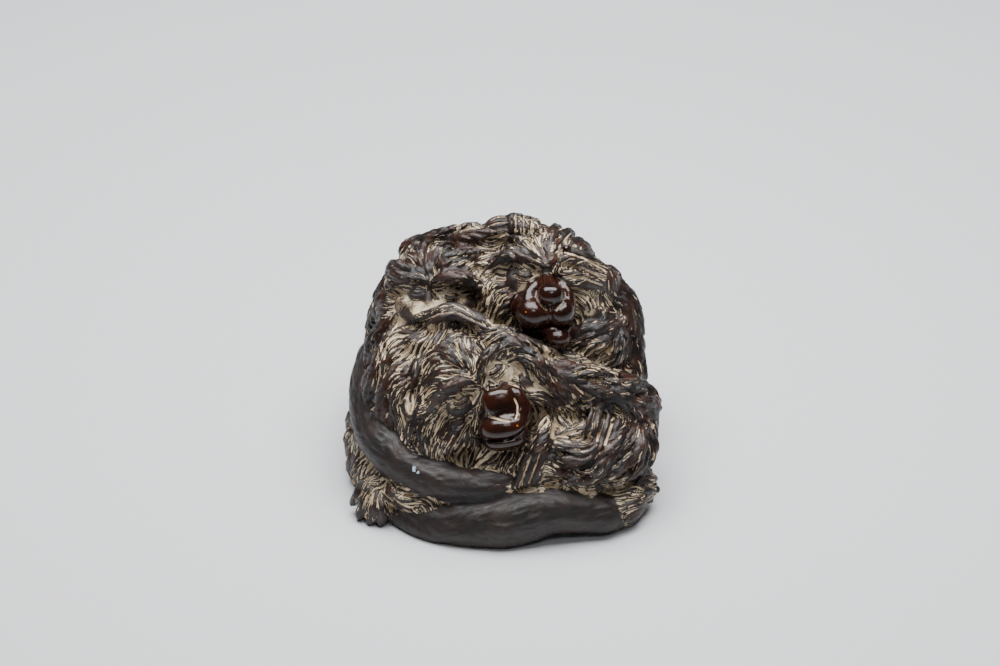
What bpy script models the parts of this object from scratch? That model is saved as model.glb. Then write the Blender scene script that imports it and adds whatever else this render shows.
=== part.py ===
"""Okimono of three monkeys huddled asleep, modelled and fired as one solid piece of glazed clay.

Lengths in the tables are in the figure's own millimetres, which UNIT turns into metres. The group was made
to be looked at from the front and from above, so most places are given as that viewer sees them.
"""

import math

import bmesh
import bpy
import numpy as np
from mathutils import Vector
from mathutils.kdtree import KDTree

NAME = "monkey_group"

# Driving dimensions
WIDTH = 0.160
UNIT = WIDTH / 160
LOCK_LENGTH = 25.0
LOCK_WIDTH = 7.5
LOCK_DEPTH = 3.6
SCULPT_GRID = 1.5
DETAIL_GRID = 0.9
SPARE_BELOW = 1.5
MOST_TRIANGLES = 9500
SEED = 7

# The viewer's line of sight falls this steeply on the group
SIGHT_SLOPE = math.radians(36)
ACROSS = Vector((1, 0, 0))
UP = Vector((0, math.sin(SIGHT_SLOPE), math.cos(SIGHT_SLOPE)))
OUT = Vector((0, -math.cos(SIGHT_SLOPE), math.sin(SIGHT_SLOPE)))

GLAZE_COLOUR = (0.035, 0.022, 0.018, 1.0)
GLAZE_ROUGHNESS = 0.3


def seen(across, up, out):
    """A point as the viewer sees it: right, up the picture, and towards the eye."""
    return ACROSS * across + UP * up + OUT * out


def ball(centre, radii, axes=(ACROSS, UP, OUT), comb="down", squareness=2.0, relief=1.0):
    """An egg of clay with its three half-lengths along the given axes. Above 2 it turns into a block."""
    return {
        "kind": "ball",
        "centre": Vector(centre),
        "radii": radii,
        "axes": axes,
        "comb": comb,
        "squareness": squareness,
        "relief": 0.0 if comb in ("bare", "skin") else relief,
    }


def roll(stations, comb="along", relief=1.0):
    """A roll of clay along a smooth line. A station is a place as the viewer sees it, and its radius."""
    return {
        "kind": "roll",
        "points": [seen(*place) for *place, _ in stations],
        "radii": [radius for *_, radius in stations],
        "comb": comb,
        "relief": 0.0 if comb in ("bare", "skin") else relief,
    }


def spline(points, radii, gap):
    """Points of a Catmull-Rom curve no further apart than gap times the local radius."""
    line = []
    ends = [points[0] * 2 - points[1]] + points + [points[-1] * 2 - points[-2]]
    for i in range(len(points) - 1):
        a, b, c, d = ends[i : i + 4]
        steps = max(1, math.ceil((c - b).length / (gap * min(radii[i], radii[i + 1]))))
        for k in range(steps + (i == len(points) - 2)):
            t = k / steps
            place = 0.5 * (2 * b + (c - a) * t + (2 * a - 5 * b + 4 * c - d) * t * t)
            place += 0.5 * (3 * b - a - 3 * c + d) * t**3
            line.append((place, radii[i] + (radii[i + 1] - radii[i]) * t))
    return line


def tilted(degrees):
    """The viewer's axes, turned in the picture so that up leans to the left by so many degrees."""
    turn = math.radians(degrees)
    return (
        ACROSS * math.cos(turn) + UP * math.sin(turn),
        UP * math.cos(turn) - ACROSS * math.sin(turn),
        OUT,
    )


def away_from(place, fall=0.0):
    """A comb from one point outwards, in which the hair far from the point also falls."""

    def comb(points):
        away = points - np.array(place)
        far = np.clip((np.linalg.norm(away, axis=1) - 22) / 20, 0, 1)[:, None]
        return unit_rows(away) - fall * far * np.array(UP)

    return comb


def toward(across, up, out=0):
    """A comb that lies one way everywhere."""
    return lambda points: np.tile(seen(across, up, out), (len(points), 1))


def around(place):
    """A comb in arcs round a line of sight, clockwise for the viewer."""
    return lambda points: np.cross(points - np.array(place), OUT)


# The trunk of the group, plain x, y, z for what stands at the back
WORLD = (Vector((1, 0, 0)), Vector((0, 1, 0)), Vector((0, 0, 1)))
BODIES = [
    ball(seen(0, 42, 6), (67, 73, 48)),
    ball(seen(-36, 62, 6), (33, 46, 40)),
    ball(seen(36, 58, 6), (35, 45, 40)),
    ball((0, 35, 44), (52, 38, 47), WORLD),
    ball((0, 2, 16), (63, 64, 24), WORLD),
    ball((-31, 32, 26), (30, 31, 27), WORLD),
    ball((32, 32, 26), (30, 31, 27), WORLD),
    # front monkey: shoulder mane, and the fur of its back up to the others' chins
    ball(seen(-38, 38, 32), (32, 32, 31)),
    ball(seen(-28, 60, 38), (28, 12, 25)),
    ball(seen(-54, 56, 26), (15, 18, 24)),
    # haunch and flank at the left edge
    ball(seen(-61.5, 10, 16), (18, 30, 26)),
    # right monkey: chest under its chin, and shoulder
    ball(seen(44, 62, 30), (22, 18, 24), comb=toward(-0.8, -0.6)),
    ball(seen(45, 83, 18), (18, 19, 24)),
    # napes and cheeks, between the two heads at the top
    ball(seen(-6, 98, 22), (26, 19, 22)),
    ball(seen(-13, 101, 33), (19, 12, 19), comb=toward(0.95, -0.2)),
    ball(seen(-9, 87, 37), (8, 14, 13)),
    # front monkey: chest beside its muzzle, and fur under the fingers of its long arm
    ball(seen(29, 18, 47), (16, 16, 15)),
    ball(seen(-24, 66, 48), (17, 8, 14)),
    ball(seen(4, 2, 52), (18, 14, 12)),
]

# Limbs
LIMBS = [
    # front monkey: far arm, from the knee on which it rests to the mouth of the left monkey
    roll(
        [
            (-12, 65, 61, 4.5), (2, 61, 62, 7), (13, 52, 60, 11), (26, 43, 56, 14), (43, 37, 53, 13),
            (60, 33, 46, 12), (69.5, 30, 37, 10),
        ]
    ),
    # its smooth elbow and knee at the right edge
    ball(seen(67.5, 20, 36), (11.5, 18, 15), tilted(-8), relief=0.15),
    # the fur that hangs from that arm
    ball(seen(40, 33.5, 54), (19, 8, 12), tilted(-14), toward(-0.85, -0.5)),
    # front monkey: folded leg under that arm
    roll([(66, 20, 38, 13), (58, 9, 45, 18), (42, 5, 52, 18), (22, 0, 55, 13)], around(seen(36, 32, 0))),
    # front monkey: near arm down the left side and under the chin
    roll(
        [
            (-65, 54, 12, 9), (-66, 36, 23, 12), (-62, 18, 35, 13), (-52, 4, 46, 12),
            (-36, -6, 54, 10), (-16, -10, 59, 8), (0, -9, 60, 6),
        ],
        relief=0.15,
    ),
    # front monkey: shin laid along the front of the base
    roll(
        [
            (-50, -26, 42, 7), (-36, -29.5, 48, 9.5), (-21, -29, 51, 12.5), (-1, -27.5, 52, 15.5),
            (12, -24.5, 53, 14.5), (24, -21.5, 54, 12.8), (36, -22.5, 52, 11.8), (50, -24.5, 50, 10),
        ],
        relief=0.15,
    ),
    # its foot, lifted off the ground at the right
    roll([(48, -25, 49, 9), (60, -21, 45, 9.5), (69, -11, 38, 7.5)], relief=0.5),
    # haunch fur between the near arm and the shin, and the foot below it
    ball(seen(-41, -16, 47), (19, 9, 11), tilted(-18), toward(0.75, -0.6)),
    roll([(-52, -6, 36, 9), (-62, -11, 36, 9), (-65, -16, 37, 7)], relief=0.5),
    ball(seen(-55, -20, 37), (11, 9, 11)),
    # left monkey: arm round the others' shoulders, over the top
    roll([(-45, 103.5, 26, 9.5), (-28, 110, 36, 8), (-10, 113.5, 42, 6.5), (4, 115, 43, 6)]),
    # right monkey: forearm down the right side
    roll([(52, 90, 32, 8), (59.5, 78, 28, 10), (61.5, 60, 24, 10.5), (62, 42, 22, 11)], relief=0.6),
]

# Heads: skull and ruff of each, and what stands out of the face
SKULLS = [
    # front monkey, its head laid on its side
    ball(seen(-18, 41, 45), (29, 27, 29), tilted(30)),
    ball(seen(-26, 21, 48), (26, 20, 20), tilted(20)),
    ball(seen(8, 38, 51), (18, 17, 17)),
    # right monkey
    ball(seen(20, 94, 32), (28, 26, 29)),
    ball(seen(0, 84, 43), (14, 18, 16)),
    ball(seen(37, 84, 42), (15, 14, 14)),
    # left monkey
    ball(seen(-33, 90, 26), (25, 24, 28)),
    ball(seen(-56, 76.5, 31), (9.5, 13, 13)),
    ball(seen(-34, 77.5, 40), (20, 11, 14), comb="skin"),
]

FUR_OF_FRONT = away_from(seen(-12, 40, 66), 1.6)
FUR_OF_RIGHT = away_from(seen(21, 97, 55), 0.8)
FUR_OF_LEFT = away_from(seen(-36, 87, 50), 0.5)
for skull, comb in zip(SKULLS, [FUR_OF_FRONT] * 3 + [FUR_OF_RIGHT] * 3 + [FUR_OF_LEFT] * 2):
    skull["comb"] = comb

FACES = [
    # front monkey: brows and closed lids
    roll([(-12, 42, 73, 4.5), (-19, 40.5, 74, 5), (-27, 36, 72, 5), (-33, 29, 67, 4)], FUR_OF_FRONT),
    roll([(-12, 43, 73, 4.5), (-8.5, 52, 72, 4.5), (0, 55, 69, 4.5), (9, 52, 65, 4)], FUR_OF_FRONT),
    ball(seen(-20.5, 31.5, 69), (7.8, 6.5, 4.5), tilted(30), "skin"),
    ball(seen(-20, 31, 71), (5.2, 3.3, 4.2), tilted(35), "skin"),
    ball(seen(-3.5, 45.5, 65.5), (8.5, 6.5, 4.5), tilted(20), "skin"),
    ball(seen(-3, 46, 68), (5, 3.3, 4), tilted(42), "skin"),
    ball(seen(12, 41, 62.5), (6, 7, 6), tilted(25), "skin"),
    # its muzzle: the block, the fold along its right side, the flat nose, upper lip, and lower lip
    ball(seen(1, 25.5, 62), (13, 14, 14), tilted(24), "bare", 2.6),
    roll([(1, 38.5, 69.5, 2.5), (7.5, 35, 70.5, 3.2), (11, 28, 70, 3.4), (10.5, 21, 69, 3)], "bare"),
    ball(seen(-2, 31.5, 72), (8, 7, 5.5), tilted(12), "bare", 3.0),
    ball(seen(0.5, 19, 68.5), (12.3, 7, 11.5), tilted(10), "bare", 2.5),
    ball(seen(1.5, 12.5, 67), (11, 5, 9.5), tilted(8), "bare", 2.3),
    # right monkey: brows, the one eye that shows, and cheek
    roll([(-2, 98, 52, 4), (5, 102.5, 57, 4.5), (13, 101.5, 61, 4.5), (21, 97.5, 61, 3.5)], FUR_OF_RIGHT),
    roll([(21, 97.5, 61, 3.5), (29, 101, 60, 4.5), (38, 99, 55, 4)], FUR_OF_RIGHT),
    ball(seen(10.5, 104.5, 53), (9, 4.5, 5.5), tilted(-14), FUR_OF_RIGHT),
    ball(seen(10, 92, 56.5), (8.5, 6.2, 4), tilted(0), "skin"),
    ball(seen(11, 93.2, 58.5), (5, 3, 4), tilted(-6), "skin"),
    ball(seen(41, 79, 47.5), (7.5, 6, 5.5), tilted(-25), "skin"),
    # its muzzle: bridge, nose pad, jaw, folds beside the nose, two lobes of the upper lip, and chin
    roll([(21.7, 95.5, 58, 2.8), (22, 91, 62, 4), (23, 87, 66, 5)], "bare"),
    ball(seen(23.6, 84.6, 68), (6.6, 5, 6), tilted(0), "bare", 2.4),
    ball(seen(19.5, 77, 55), (15, 11, 14), tilted(-8), "bare"),
    roll([(18, 91, 60, 2.2), (13.5, 85.5, 63, 3), (12.5, 79, 65, 4)], "bare"),
    roll([(26, 91, 60, 2.2), (31.8, 86, 63, 2.8), (33, 79, 63, 3.5)], "bare"),
    ball(seen(14.8, 75.5, 63), (9, 8, 9.5), tilted(-10), "bare"),
    ball(seen(28.6, 76, 64), (7.6, 7.5, 9), tilted(10), "bare"),
    ball(seen(26, 68, 58), (9.5, 5, 8.5), tilted(6), "bare"),
    ball(seen(27.3, 63, 60), (7, 5.2, 8), tilted(0), "bare"),
    # left monkey: brows, lids, nose and cheeks above the fingers that cover its mouth
    roll([(-54, 90, 43, 3.5), (-45, 92, 49, 4), (-37, 90, 53, 3)], FUR_OF_LEFT),
    roll([(-37, 90, 53, 3), (-29, 91.5, 56, 4.2), (-20, 91.5, 55, 4.5), (-13, 88.5, 51, 3.5)], FUR_OF_LEFT),
    ball(seen(-24.5, 97.5, 48), (12.5, 8.5, 9), tilted(-15), FUR_OF_LEFT),
    ball(seen(-47.5, 97, 41), (10, 7.5, 9), tilted(18), FUR_OF_LEFT),
    ball(seen(-42.4, 84.5, 50), (4.8, 2.8, 4), tilted(0), "skin"),
    ball(seen(-25.6, 83, 51), (4.8, 2.8, 4), tilted(0), "skin"),
    roll([(-36.4, 87, 51, 2.2), (-36.8, 79.5, 53, 3)], "skin"),
    ball(seen(-45.5, 80, 43), (8, 5, 6.5), tilted(0), "skin"),
    ball(seen(-20, 80, 44), (8.5, 5, 6.5), tilted(0), "skin"),
]

EARS = [
    roll(
        [
            (-42, 37, 59, 1.4), (-46.5, 35.5, 59.5, 1.7), (-48.5, 30.5, 59, 1.8), (-47, 26, 59, 1.7),
            (-42.5, 23.5, 60.5, 1.5),
        ],
        "skin",
    ),
    roll([(41, 74, 49, 1.6), (44.5, 76.5, 49, 1.8), (48, 73.5, 48, 1.9), (46, 69.5, 48.5, 1.8)], "skin"),
    ball(seen(43.5, 72, 48.5), (2.6, 2.6, 2.6), tilted(0), "skin"),
]


def fingers(tips, roots, radius, bend):
    """Rolls from knuckle to tip, each arched towards the viewer by bend."""
    made = []
    for tip, root in zip(tips, roots):
        middle = [(a + b) / 2 + c for a, b, c in zip(root, tip, (0, 0, bend))]
        made.append(roll([(*root, radius), (*middle, radius), (*tip, radius * 0.85)], relief=0.3))
    return made


HANDS = (
    # right monkey: four fingers over its eye, their two bare claws, and the back of that hand
    fingers(
        [(32.5, 107, 54.5), (28, 103.2, 58.5), (29, 95.6, 61), (30.5, 91.2, 61)],
        [(51.5, 98.5, 44.5), (51, 94.5, 46.5), (50, 91, 47.5), (48.5, 87.5, 48)],
        2.3,
        3,
    )
    + [ball(seen(50.5, 91.5, 38), (8.5, 9, 9.5), relief=0.4)]
    + [ball(seen(31.6, 107.4, 57), (2.1, 1.9, 2.1), tilted(0), "bare")]
    + [ball(seen(27, 103.4, 60.8), (2.1, 1.9, 2.1), tilted(0), "bare")]
    # front monkey: hand hanging below its chin
    + fingers(
        [(6.5 + 4.3 * i, -10 + 0.8 * i, 64) for i in range(3)],
        [(12 + 4.2 * i, 5 + 0.6 * i, 68) for i in range(3)],
        2.2,
        2,
    )
    + [roll([(21, 21, 60, 4), (19.5, 14, 65, 5.2), (16.5, 6, 66.5, 5)], relief=0.5)]
    # four fingers pressed into the fur of its thigh
    + fingers(
        [(40.7 + 3.9 * i, 16 - 1.9 * i, 68.5 - 1.6 * i) for i in range(4)],
        [(44 + 4.4 * i, 27.5 - 1.6 * i, 65 - 1.8 * i) for i in range(4)],
        1.8,
        1.5,
    )
    # two of the long arm's fingers over the left monkey's mouth
    + [
        roll(stations, relief=0.3)
        for stations in (
            [(-44, 72.5, 52.5, 2), (-34, 76, 56.5, 2.6), (-24, 77.8, 59, 2.8), (-10, 71, 62, 3.4)],
            [(-37, 69.5, 57, 2), (-30, 73, 60, 2.6), (-21, 74, 61.5, 2.8), (-8, 67.5, 63, 3.6)],
        )
    ]
    # left monkey: fist on the far shoulder
    + fingers(
        [(4.6 + 4 * i, 117 - 0.6 * i, 50 - 0.6 * i) for i in range(4)],
        [(4.4 + 4 * i, 122.4 + math.sin(1 + 0.7 * i) - 0.8 * i, 43) for i in range(4)],
        2.2,
        3.5,
    )
    + [
        ball(seen(4.6 + 4 * i, 123.2 + math.sin(1 + 0.7 * i) - 0.9 * i, 45), (2.6, 2.4, 3.6), relief=0.3)
        for i in range(4)
    ]
    + [ball(seen(-2, 119, 43), (7.5, 5.2, 6.5), tilted(14), "skin")]
)

TOES = fingers(
    [(72.5, -4, 35), (75, -8, 35), (76, -13, 36), (73.5, -17, 38)],
    [(67, -4, 41), (69, -8, 43), (69, -13, 45), (67, -17, 46)],
    3.2,
    1,
) + fingers(
    [(-74, -19.5, 37), (-71, -25, 40.5), (-66, -28, 42.5), (-60, -28.5, 44)],
    [(-69, -10, 41), (-66.5, -12, 44), (-62.5, -14, 45.5), (-58.5, -16, 46)],
    3.0,
    2.5,
)

# Lines pressed in, each with its width and depth
GROOVES = [
    # front monkey: mouth, nostrils and lids
    ([(-10.5, 13.8), (-4, 13), (3, 13.4), (8, 15.8), (12.5, 19.3)], 1.8, 3.0),
    ([(-6, 25.2), (-1, 24.2), (4.2, 23.4)], 2.0, 3.0),
    ([(-23.5, 28.5), (-19, 30), (-16, 33.5)], 1.3, 1.4),
    ([(-7, 44), (-2.5, 45), (0.5, 48.5)], 1.3, 1.4),
    # right monkey: mouth, cleft of the lip, lid, and the folds beside the nose
    ([(13.5, 65.8), (19, 68), (25, 69.3), (30, 68.3), (35, 70.5)], 1.8, 3.0),
    ([(24, 79.5), (24.3, 72.5)], 1.4, 1.6),
    ([(7.5, 93.6), (11.5, 92.4), (15.5, 93.4)], 1.3, 1.4),
    ([(18, 88), (16.8, 84), (18.5, 79.5), (22, 77)], 1.3, 1.6),
    ([(28.5, 88), (30.6, 84), (29.3, 79.5), (26, 77)], 1.3, 1.6),
    # between the toes of the near foot
    ([(-67.7, -12), (-72.3, -22)], 1.1, 1.6),
    ([(-64.5, -14), (-68.5, -27)], 1.1, 1.6),
    ([(-60.5, -16), (-63, -29)], 1.1, 1.6),
]

MASSES = BODIES + LIMBS + SKULLS
DETAILS = FACES + EARS + HANDS + TOES


def unit_ball(rounds):
    """Corner points and triangles of a ball with radius one."""
    bm = bmesh.new()
    bmesh.ops.create_icosphere(bm, subdivisions=rounds, radius=1)
    points = np.array([v.co for v in bm.verts])
    faces = np.array([[v.index for v in face.verts] for face in bm.faces])
    bm.free()
    return points, faces


def lay_up(name, forms, base=None):
    """One object that holds every form as a closed ball or a string of balls, and the base mesh."""
    fine, coarse = unit_ball(4), unit_ball(3)
    points, faces, count = [], [], 0
    if base:
        corners = np.empty(len(base.loops), np.int32)
        base.loops.foreach_get("vertex_index", corners)
        base_faces = np.split(corners, [face.loop_start for face in base.polygons][1:])
        points.append(points_of(base))
        faces.extend(face.tolist() for face in base_faces)
        count = len(points[0])
    for form in forms:
        if form["kind"] == "ball":
            axes = np.array([axis.normalized() for axis in form["axes"]])
            shape, corners = fine
            power = form["squareness"]
            shape = shape / (np.abs(shape) ** power).sum(1)[:, None] ** (1 / power)
            balls = [((shape, corners), np.array(form["centre"]), np.array(form["radii"])[:, None] * axes)]
        else:
            line = spline(form["points"], form["radii"], 0.3)
            balls = [(coarse, np.array(place), radius * np.eye(3)) for place, radius in line]
        for (shape, corners), centre, stretch in balls:
            points.append(shape @ stretch + centre)
            faces.extend((corners + count).tolist())
            count += len(shape)
    mesh = bpy.data.meshes.new(name)
    mesh.from_pydata(np.vstack(points).tolist(), [], faces)
    obj = bpy.data.objects.new(name, mesh)
    bpy.context.scene.collection.objects.link(obj)
    return obj


def as_mesh(obj):
    """The object's evaluated mesh. The object itself is removed."""
    bpy.context.view_layer.update()
    graph = bpy.context.evaluated_depsgraph_get()
    mesh = bpy.data.meshes.new_from_object(obj.evaluated_get(graph))
    old = obj.data
    bpy.data.objects.remove(obj)
    bpy.data.meshes.remove(old)
    return mesh


def knead(obj, grid):
    """Joins overlapping shapes into one skin with the voxel remesher."""
    remesh = obj.modifiers.new("knead", "REMESH")
    remesh.mode = "VOXEL"
    remesh.voxel_size = grid
    return as_mesh(obj)


def points_of(mesh):
    co = np.empty(len(mesh.vertices) * 3, np.float32)
    mesh.vertices.foreach_get("co", co)
    return co.reshape(-1, 3).astype(float)


def put_points(mesh, points):
    mesh.vertices.foreach_set("co", points.astype(np.float32).ravel())
    mesh.update()


def edges_of(mesh):
    ends = np.empty(len(mesh.edges) * 2, np.int32)
    mesh.edges.foreach_get("vertices", ends)
    return ends.reshape(-1, 2)


def normals_of(mesh):
    out = np.empty(len(mesh.vertices) * 3, np.float32)
    mesh.vertex_normals.foreach_get("vector", out)
    return out.reshape(-1, 3).astype(float)


def neighbour_mean(values, edges):
    """For each vertex, the mean of its neighbours' values."""
    count = np.bincount(edges.ravel(), minlength=len(values))
    total = np.zeros_like(values)
    for axis in range(values.shape[1]):
        total[:, axis] = np.bincount(edges[:, 0], values[edges[:, 1], axis], len(values))
        total[:, axis] += np.bincount(edges[:, 1], values[edges[:, 0], axis], len(values))
    return total / np.maximum(count, 1)[:, None]


def soften(mesh, rounds):
    points, edges = points_of(mesh), edges_of(mesh)
    for _ in range(rounds):
        points += 0.5 * (neighbour_mean(points, edges) - points)
    put_points(mesh, points)


def distance_to(form, points):
    """Roughly how far each point lies outside a form."""
    if form["kind"] == "ball":
        axes = np.array([axis.normalized() for axis in form["axes"]])
        local = (points - np.array(form["centre"])) @ axes.T / np.array(form["radii"])
        return (np.linalg.norm(local, axis=1) - 1) * min(form["radii"])
    best = np.full(len(points), np.inf)
    for centre, radius in spline(form["points"], form["radii"], 0.5):
        best = np.minimum(best, np.linalg.norm(points - np.array(centre), axis=1) - radius)
    return best


def comb_direction(form, points):
    """Which way the hair lies on a form, before it is laid flat on the surface."""
    comb = form["comb"]
    if comb == "along":
        line = np.array([place for place, _ in spline(form["points"], form["radii"], 0.5)])
        ahead = np.gradient(line, axis=0)
        near = np.argmin(((points[:, None] - line[None]) ** 2).sum(2), axis=1)
        return ahead[near]
    if callable(comb):
        return comb(points)
    return np.tile((0.0, 0.0, -1.0), (len(points), 1))


def unit_rows(rows):
    return rows / np.maximum(np.linalg.norm(rows, axis=1), 1e-9)[:, None]


def hair_lie(mesh, forms):
    """For each vertex, the way its hair lies and how deep its locks are, from 0 on bare skin to 1."""
    points, normals, edges = points_of(mesh), normals_of(mesh), edges_of(mesh)
    owner = np.array([distance_to(form, points) for form in forms]).argmin(0)
    lie = np.zeros_like(points)
    depth = np.ones((len(points), 1))
    for i, form in enumerate(forms):
        mine = owner == i
        if mine.any():
            depth[mine] = form["relief"]
            lie[mine] = unit_rows(comb_direction(form, points[mine]))
    for _ in range(8):
        lie = lie + neighbour_mean(lie, edges)
        lie -= normals * (lie * normals).sum(1)[:, None]
        lie = unit_rows(lie)
        depth = np.minimum(depth, 0.5 * (depth + neighbour_mean(depth, edges)))
    return lie, depth[:, 0]


def lock_roots(points, normals, lie, depth):
    """Vertices at which locks start, spread so that locks lie side by side and overlap like shingles."""
    order = np.random.default_rng(SEED).permutation(np.flatnonzero(depth > 0.1))[:9000]
    chosen = []
    places = np.empty((len(order), 3))
    for i in order:
        away = places[: len(chosen)] - points[i]
        along = away @ lie[i] / (0.55 * LOCK_LENGTH)
        side = away @ np.cross(normals[i], lie[i]) / (0.92 * LOCK_WIDTH)
        above = away @ normals[i] / (0.92 * LOCK_WIDTH)
        if not len(chosen) or (along**2 + side**2 + above**2).min() > 1:
            places[len(chosen)] = points[i]
            chosen.append(i)
    return chosen


def comb_locks(mesh, forms):
    """Raises locks of hair that follow the lie of the coat, with a crease between neighbours."""
    points, normals = points_of(mesh), normals_of(mesh)
    lie, depth = hair_lie(mesh, forms)
    tree = KDTree(len(points))
    for i, point in enumerate(points):
        tree.insert(point, i)
    tree.balance()
    lift = np.zeros(len(points))
    steps = 10
    for root in lock_roots(points, normals, lie, depth):
        spot = points[root] - lie[root] * 0.4 * LOCK_LENGTH
        for step in range(steps + 1):
            _, near, _ = tree.find(spot)
            normal, way = normals[near], lie[near]
            spot = spot - normal * np.dot(spot - points[near], normal)
            along = step / steps
            half = 0.56 * LOCK_WIDTH * min(1, 2.5 * along + 0.35, 2.2 * (1.08 - along))
            found = np.array([i for _, i, _ in tree.find_range(spot, half)], int)
            if len(found):
                side = (points[found] - spot) @ np.cross(normal, way) / half
                height = np.sqrt(np.clip(1 - side**2, 0, 1)) * min(1, 0.2 + 1.3 * along)
                lift[found] = np.maximum(lift[found], height)
            spot = spot + way * LOCK_LENGTH / steps
    points += normals * ((lift - 0.6) * LOCK_DEPTH * depth)[:, None]
    put_points(mesh, points)


def groove(mesh, line, width, depth):
    """Presses a line into what faces the viewer. The line's points are (across, up)."""
    points, normals = points_of(mesh), normals_of(mesh)
    flat = points @ np.array([ACROSS, UP]).T
    apart = np.full(len(points), np.inf)
    for a, b in zip(np.array(line[:-1]), np.array(line[1:])):
        share = np.clip((flat - a) @ (b - a) / ((b - a) @ (b - a)), 0, 1)
        apart = np.minimum(apart, np.linalg.norm(flat - a - share[:, None] * (b - a), axis=1))
    facing = np.clip(3 * normals @ np.array(OUT), 0, 1)
    press = depth * facing * np.clip(1 - (apart / width) ** 2, 0, 1)
    put_points(mesh, points - press[:, None] * np.array(OUT))


def outer_skin(mesh):
    """Deletes everything but the largest connected shell, so that no sealed hollow is left."""
    bm = bmesh.new()
    bm.from_mesh(mesh)
    left = set(bm.verts)
    shells = []
    while left:
        shell, edge = set(), {left.pop()}
        while edge:
            shell |= edge
            edge = {e.other_vert(v) for v in edge for e in v.link_edges} - shell
        left -= shell
        shells.append(shell)
    largest = max(shells, key=len)
    for shell in shells:
        if shell is not largest:
            bmesh.ops.delete(bm, geom=list(shell), context="VERTS")
    bm.to_mesh(mesh)
    bm.free()


def cut_base(mesh, height):
    """Cuts everything below a height away and closes the cut with a flat face."""
    bm = bmesh.new()
    bm.from_mesh(mesh)
    everything = bm.verts[:] + bm.edges[:] + bm.faces[:]
    bmesh.ops.bisect_plane(
        bm, geom=everything, dist=1e-4, plane_co=(0, 0, height), plane_no=(0, 0, -1), clear_outer=True
    )
    rim = [edge for edge in bm.edges if edge.is_boundary]
    bmesh.ops.contextual_create(bm, geom=rim)
    bmesh.ops.triangulate(bm, faces=bm.faces[:])
    bm.to_mesh(mesh)
    bm.free()


def thin_out(mesh):
    """Keeps the shape with fewer, larger faces."""
    obj = bpy.data.objects.new("thinned", mesh)
    bpy.context.scene.collection.objects.link(obj)
    mesh.calc_loop_triangles()
    decimate = obj.modifiers.new("thin", "DECIMATE")
    decimate.ratio = min(1.0, MOST_TRIANGLES / len(mesh.loop_triangles))
    decimate.use_collapse_triangulate = True
    return as_mesh(obj)


def settle(mesh):
    """Puts the origin on the ground in the middle of the group's box, and scales to metres."""
    points = points_of(mesh)
    low, high = points.min(0), points.max(0)
    points -= ((low[0] + high[0]) / 2, (low[1] + high[1]) / 2, low[2])
    put_points(mesh, points * UNIT)


def glaze():
    material = bpy.data.materials.new("brown_glaze")
    material.use_nodes = True
    shader = material.node_tree.nodes["Principled BSDF"]
    shader.inputs["Base Color"].default_value = GLAZE_COLOUR
    shader.inputs["Roughness"].default_value = GLAZE_ROUGHNESS
    return material


def main():
    for obj in list(bpy.data.objects):
        bpy.data.objects.remove(obj)
    mass = knead(lay_up("mass", MASSES), SCULPT_GRID)
    outer_skin(mass)
    soften(mass, 5)
    skin = knead(lay_up("skin", DETAILS, mass), DETAIL_GRID)
    outer_skin(skin)
    soften(skin, 1)
    comb_locks(skin, MASSES + DETAILS)
    for line, width, depth in GROOVES:
        groove(skin, line, width, depth)
    soften(skin, 1)
    cut_base(skin, -SPARE_BELOW)
    mesh = thin_out(skin)
    cut_base(mesh, 0)
    settle(mesh)
    mesh.name = NAME
    mesh.materials.clear()
    mesh.materials.append(glaze())
    group = bpy.data.objects.new(NAME, mesh)
    collection = bpy.data.collections.new("okimono")
    bpy.context.scene.collection.children.link(collection)
    collection.objects.link(group)


main()
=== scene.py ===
# %% [markdown]
# # Okimono of three sleeping monkeys
#
# Three monkeys asleep in a heap, with their arms round each other and their fingers in each other's fur. The
# whole group was modelled and fired as one piece of stoneware. Its glaze is nearly black, and a cream slip
# lies in the combed fur. Here the form is built up like clay: eggs and rolls are laid on each other, kneaded
# into one skin, and then some hundreds of locks and some thousands of strands are combed into it.

# %% Tools and the fixed frame
import math

import bmesh
import bpy
import numpy as np
from mathutils import Matrix, Vector, noise
from mathutils.kdtree import KDTree


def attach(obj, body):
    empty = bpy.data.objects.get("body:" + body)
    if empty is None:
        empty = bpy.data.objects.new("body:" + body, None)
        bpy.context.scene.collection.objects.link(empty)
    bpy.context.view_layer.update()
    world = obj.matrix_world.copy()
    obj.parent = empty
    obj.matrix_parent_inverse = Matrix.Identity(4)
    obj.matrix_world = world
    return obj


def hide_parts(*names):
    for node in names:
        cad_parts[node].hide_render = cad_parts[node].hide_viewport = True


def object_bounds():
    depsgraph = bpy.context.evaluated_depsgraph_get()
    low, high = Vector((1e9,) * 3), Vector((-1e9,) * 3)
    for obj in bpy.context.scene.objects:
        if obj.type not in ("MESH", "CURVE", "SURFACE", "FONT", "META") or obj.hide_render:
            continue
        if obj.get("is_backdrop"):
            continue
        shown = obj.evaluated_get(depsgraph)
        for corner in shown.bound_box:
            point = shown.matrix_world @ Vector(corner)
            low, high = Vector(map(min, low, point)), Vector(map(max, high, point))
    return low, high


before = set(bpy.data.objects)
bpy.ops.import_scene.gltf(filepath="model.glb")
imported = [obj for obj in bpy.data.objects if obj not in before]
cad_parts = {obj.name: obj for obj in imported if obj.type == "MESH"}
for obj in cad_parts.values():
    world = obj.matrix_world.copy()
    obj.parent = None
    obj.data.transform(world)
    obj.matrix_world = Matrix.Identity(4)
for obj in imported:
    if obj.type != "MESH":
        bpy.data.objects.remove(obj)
cad_box = [list(corner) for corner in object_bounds()]
print("The solid's box runs from", cad_box[0], "to", cad_box[1])

# %% [markdown]
# ## Measures
#
# Lengths are in millimetres until the figure is set on the ground. The group is looked at from the front and
# above, so most places are given as that viewer sees them: how far right, how far up the picture, and how
# far out towards the eye. The figure could be typed in plain x, y, z, but then no number could be read off a
# picture of it.

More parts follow.
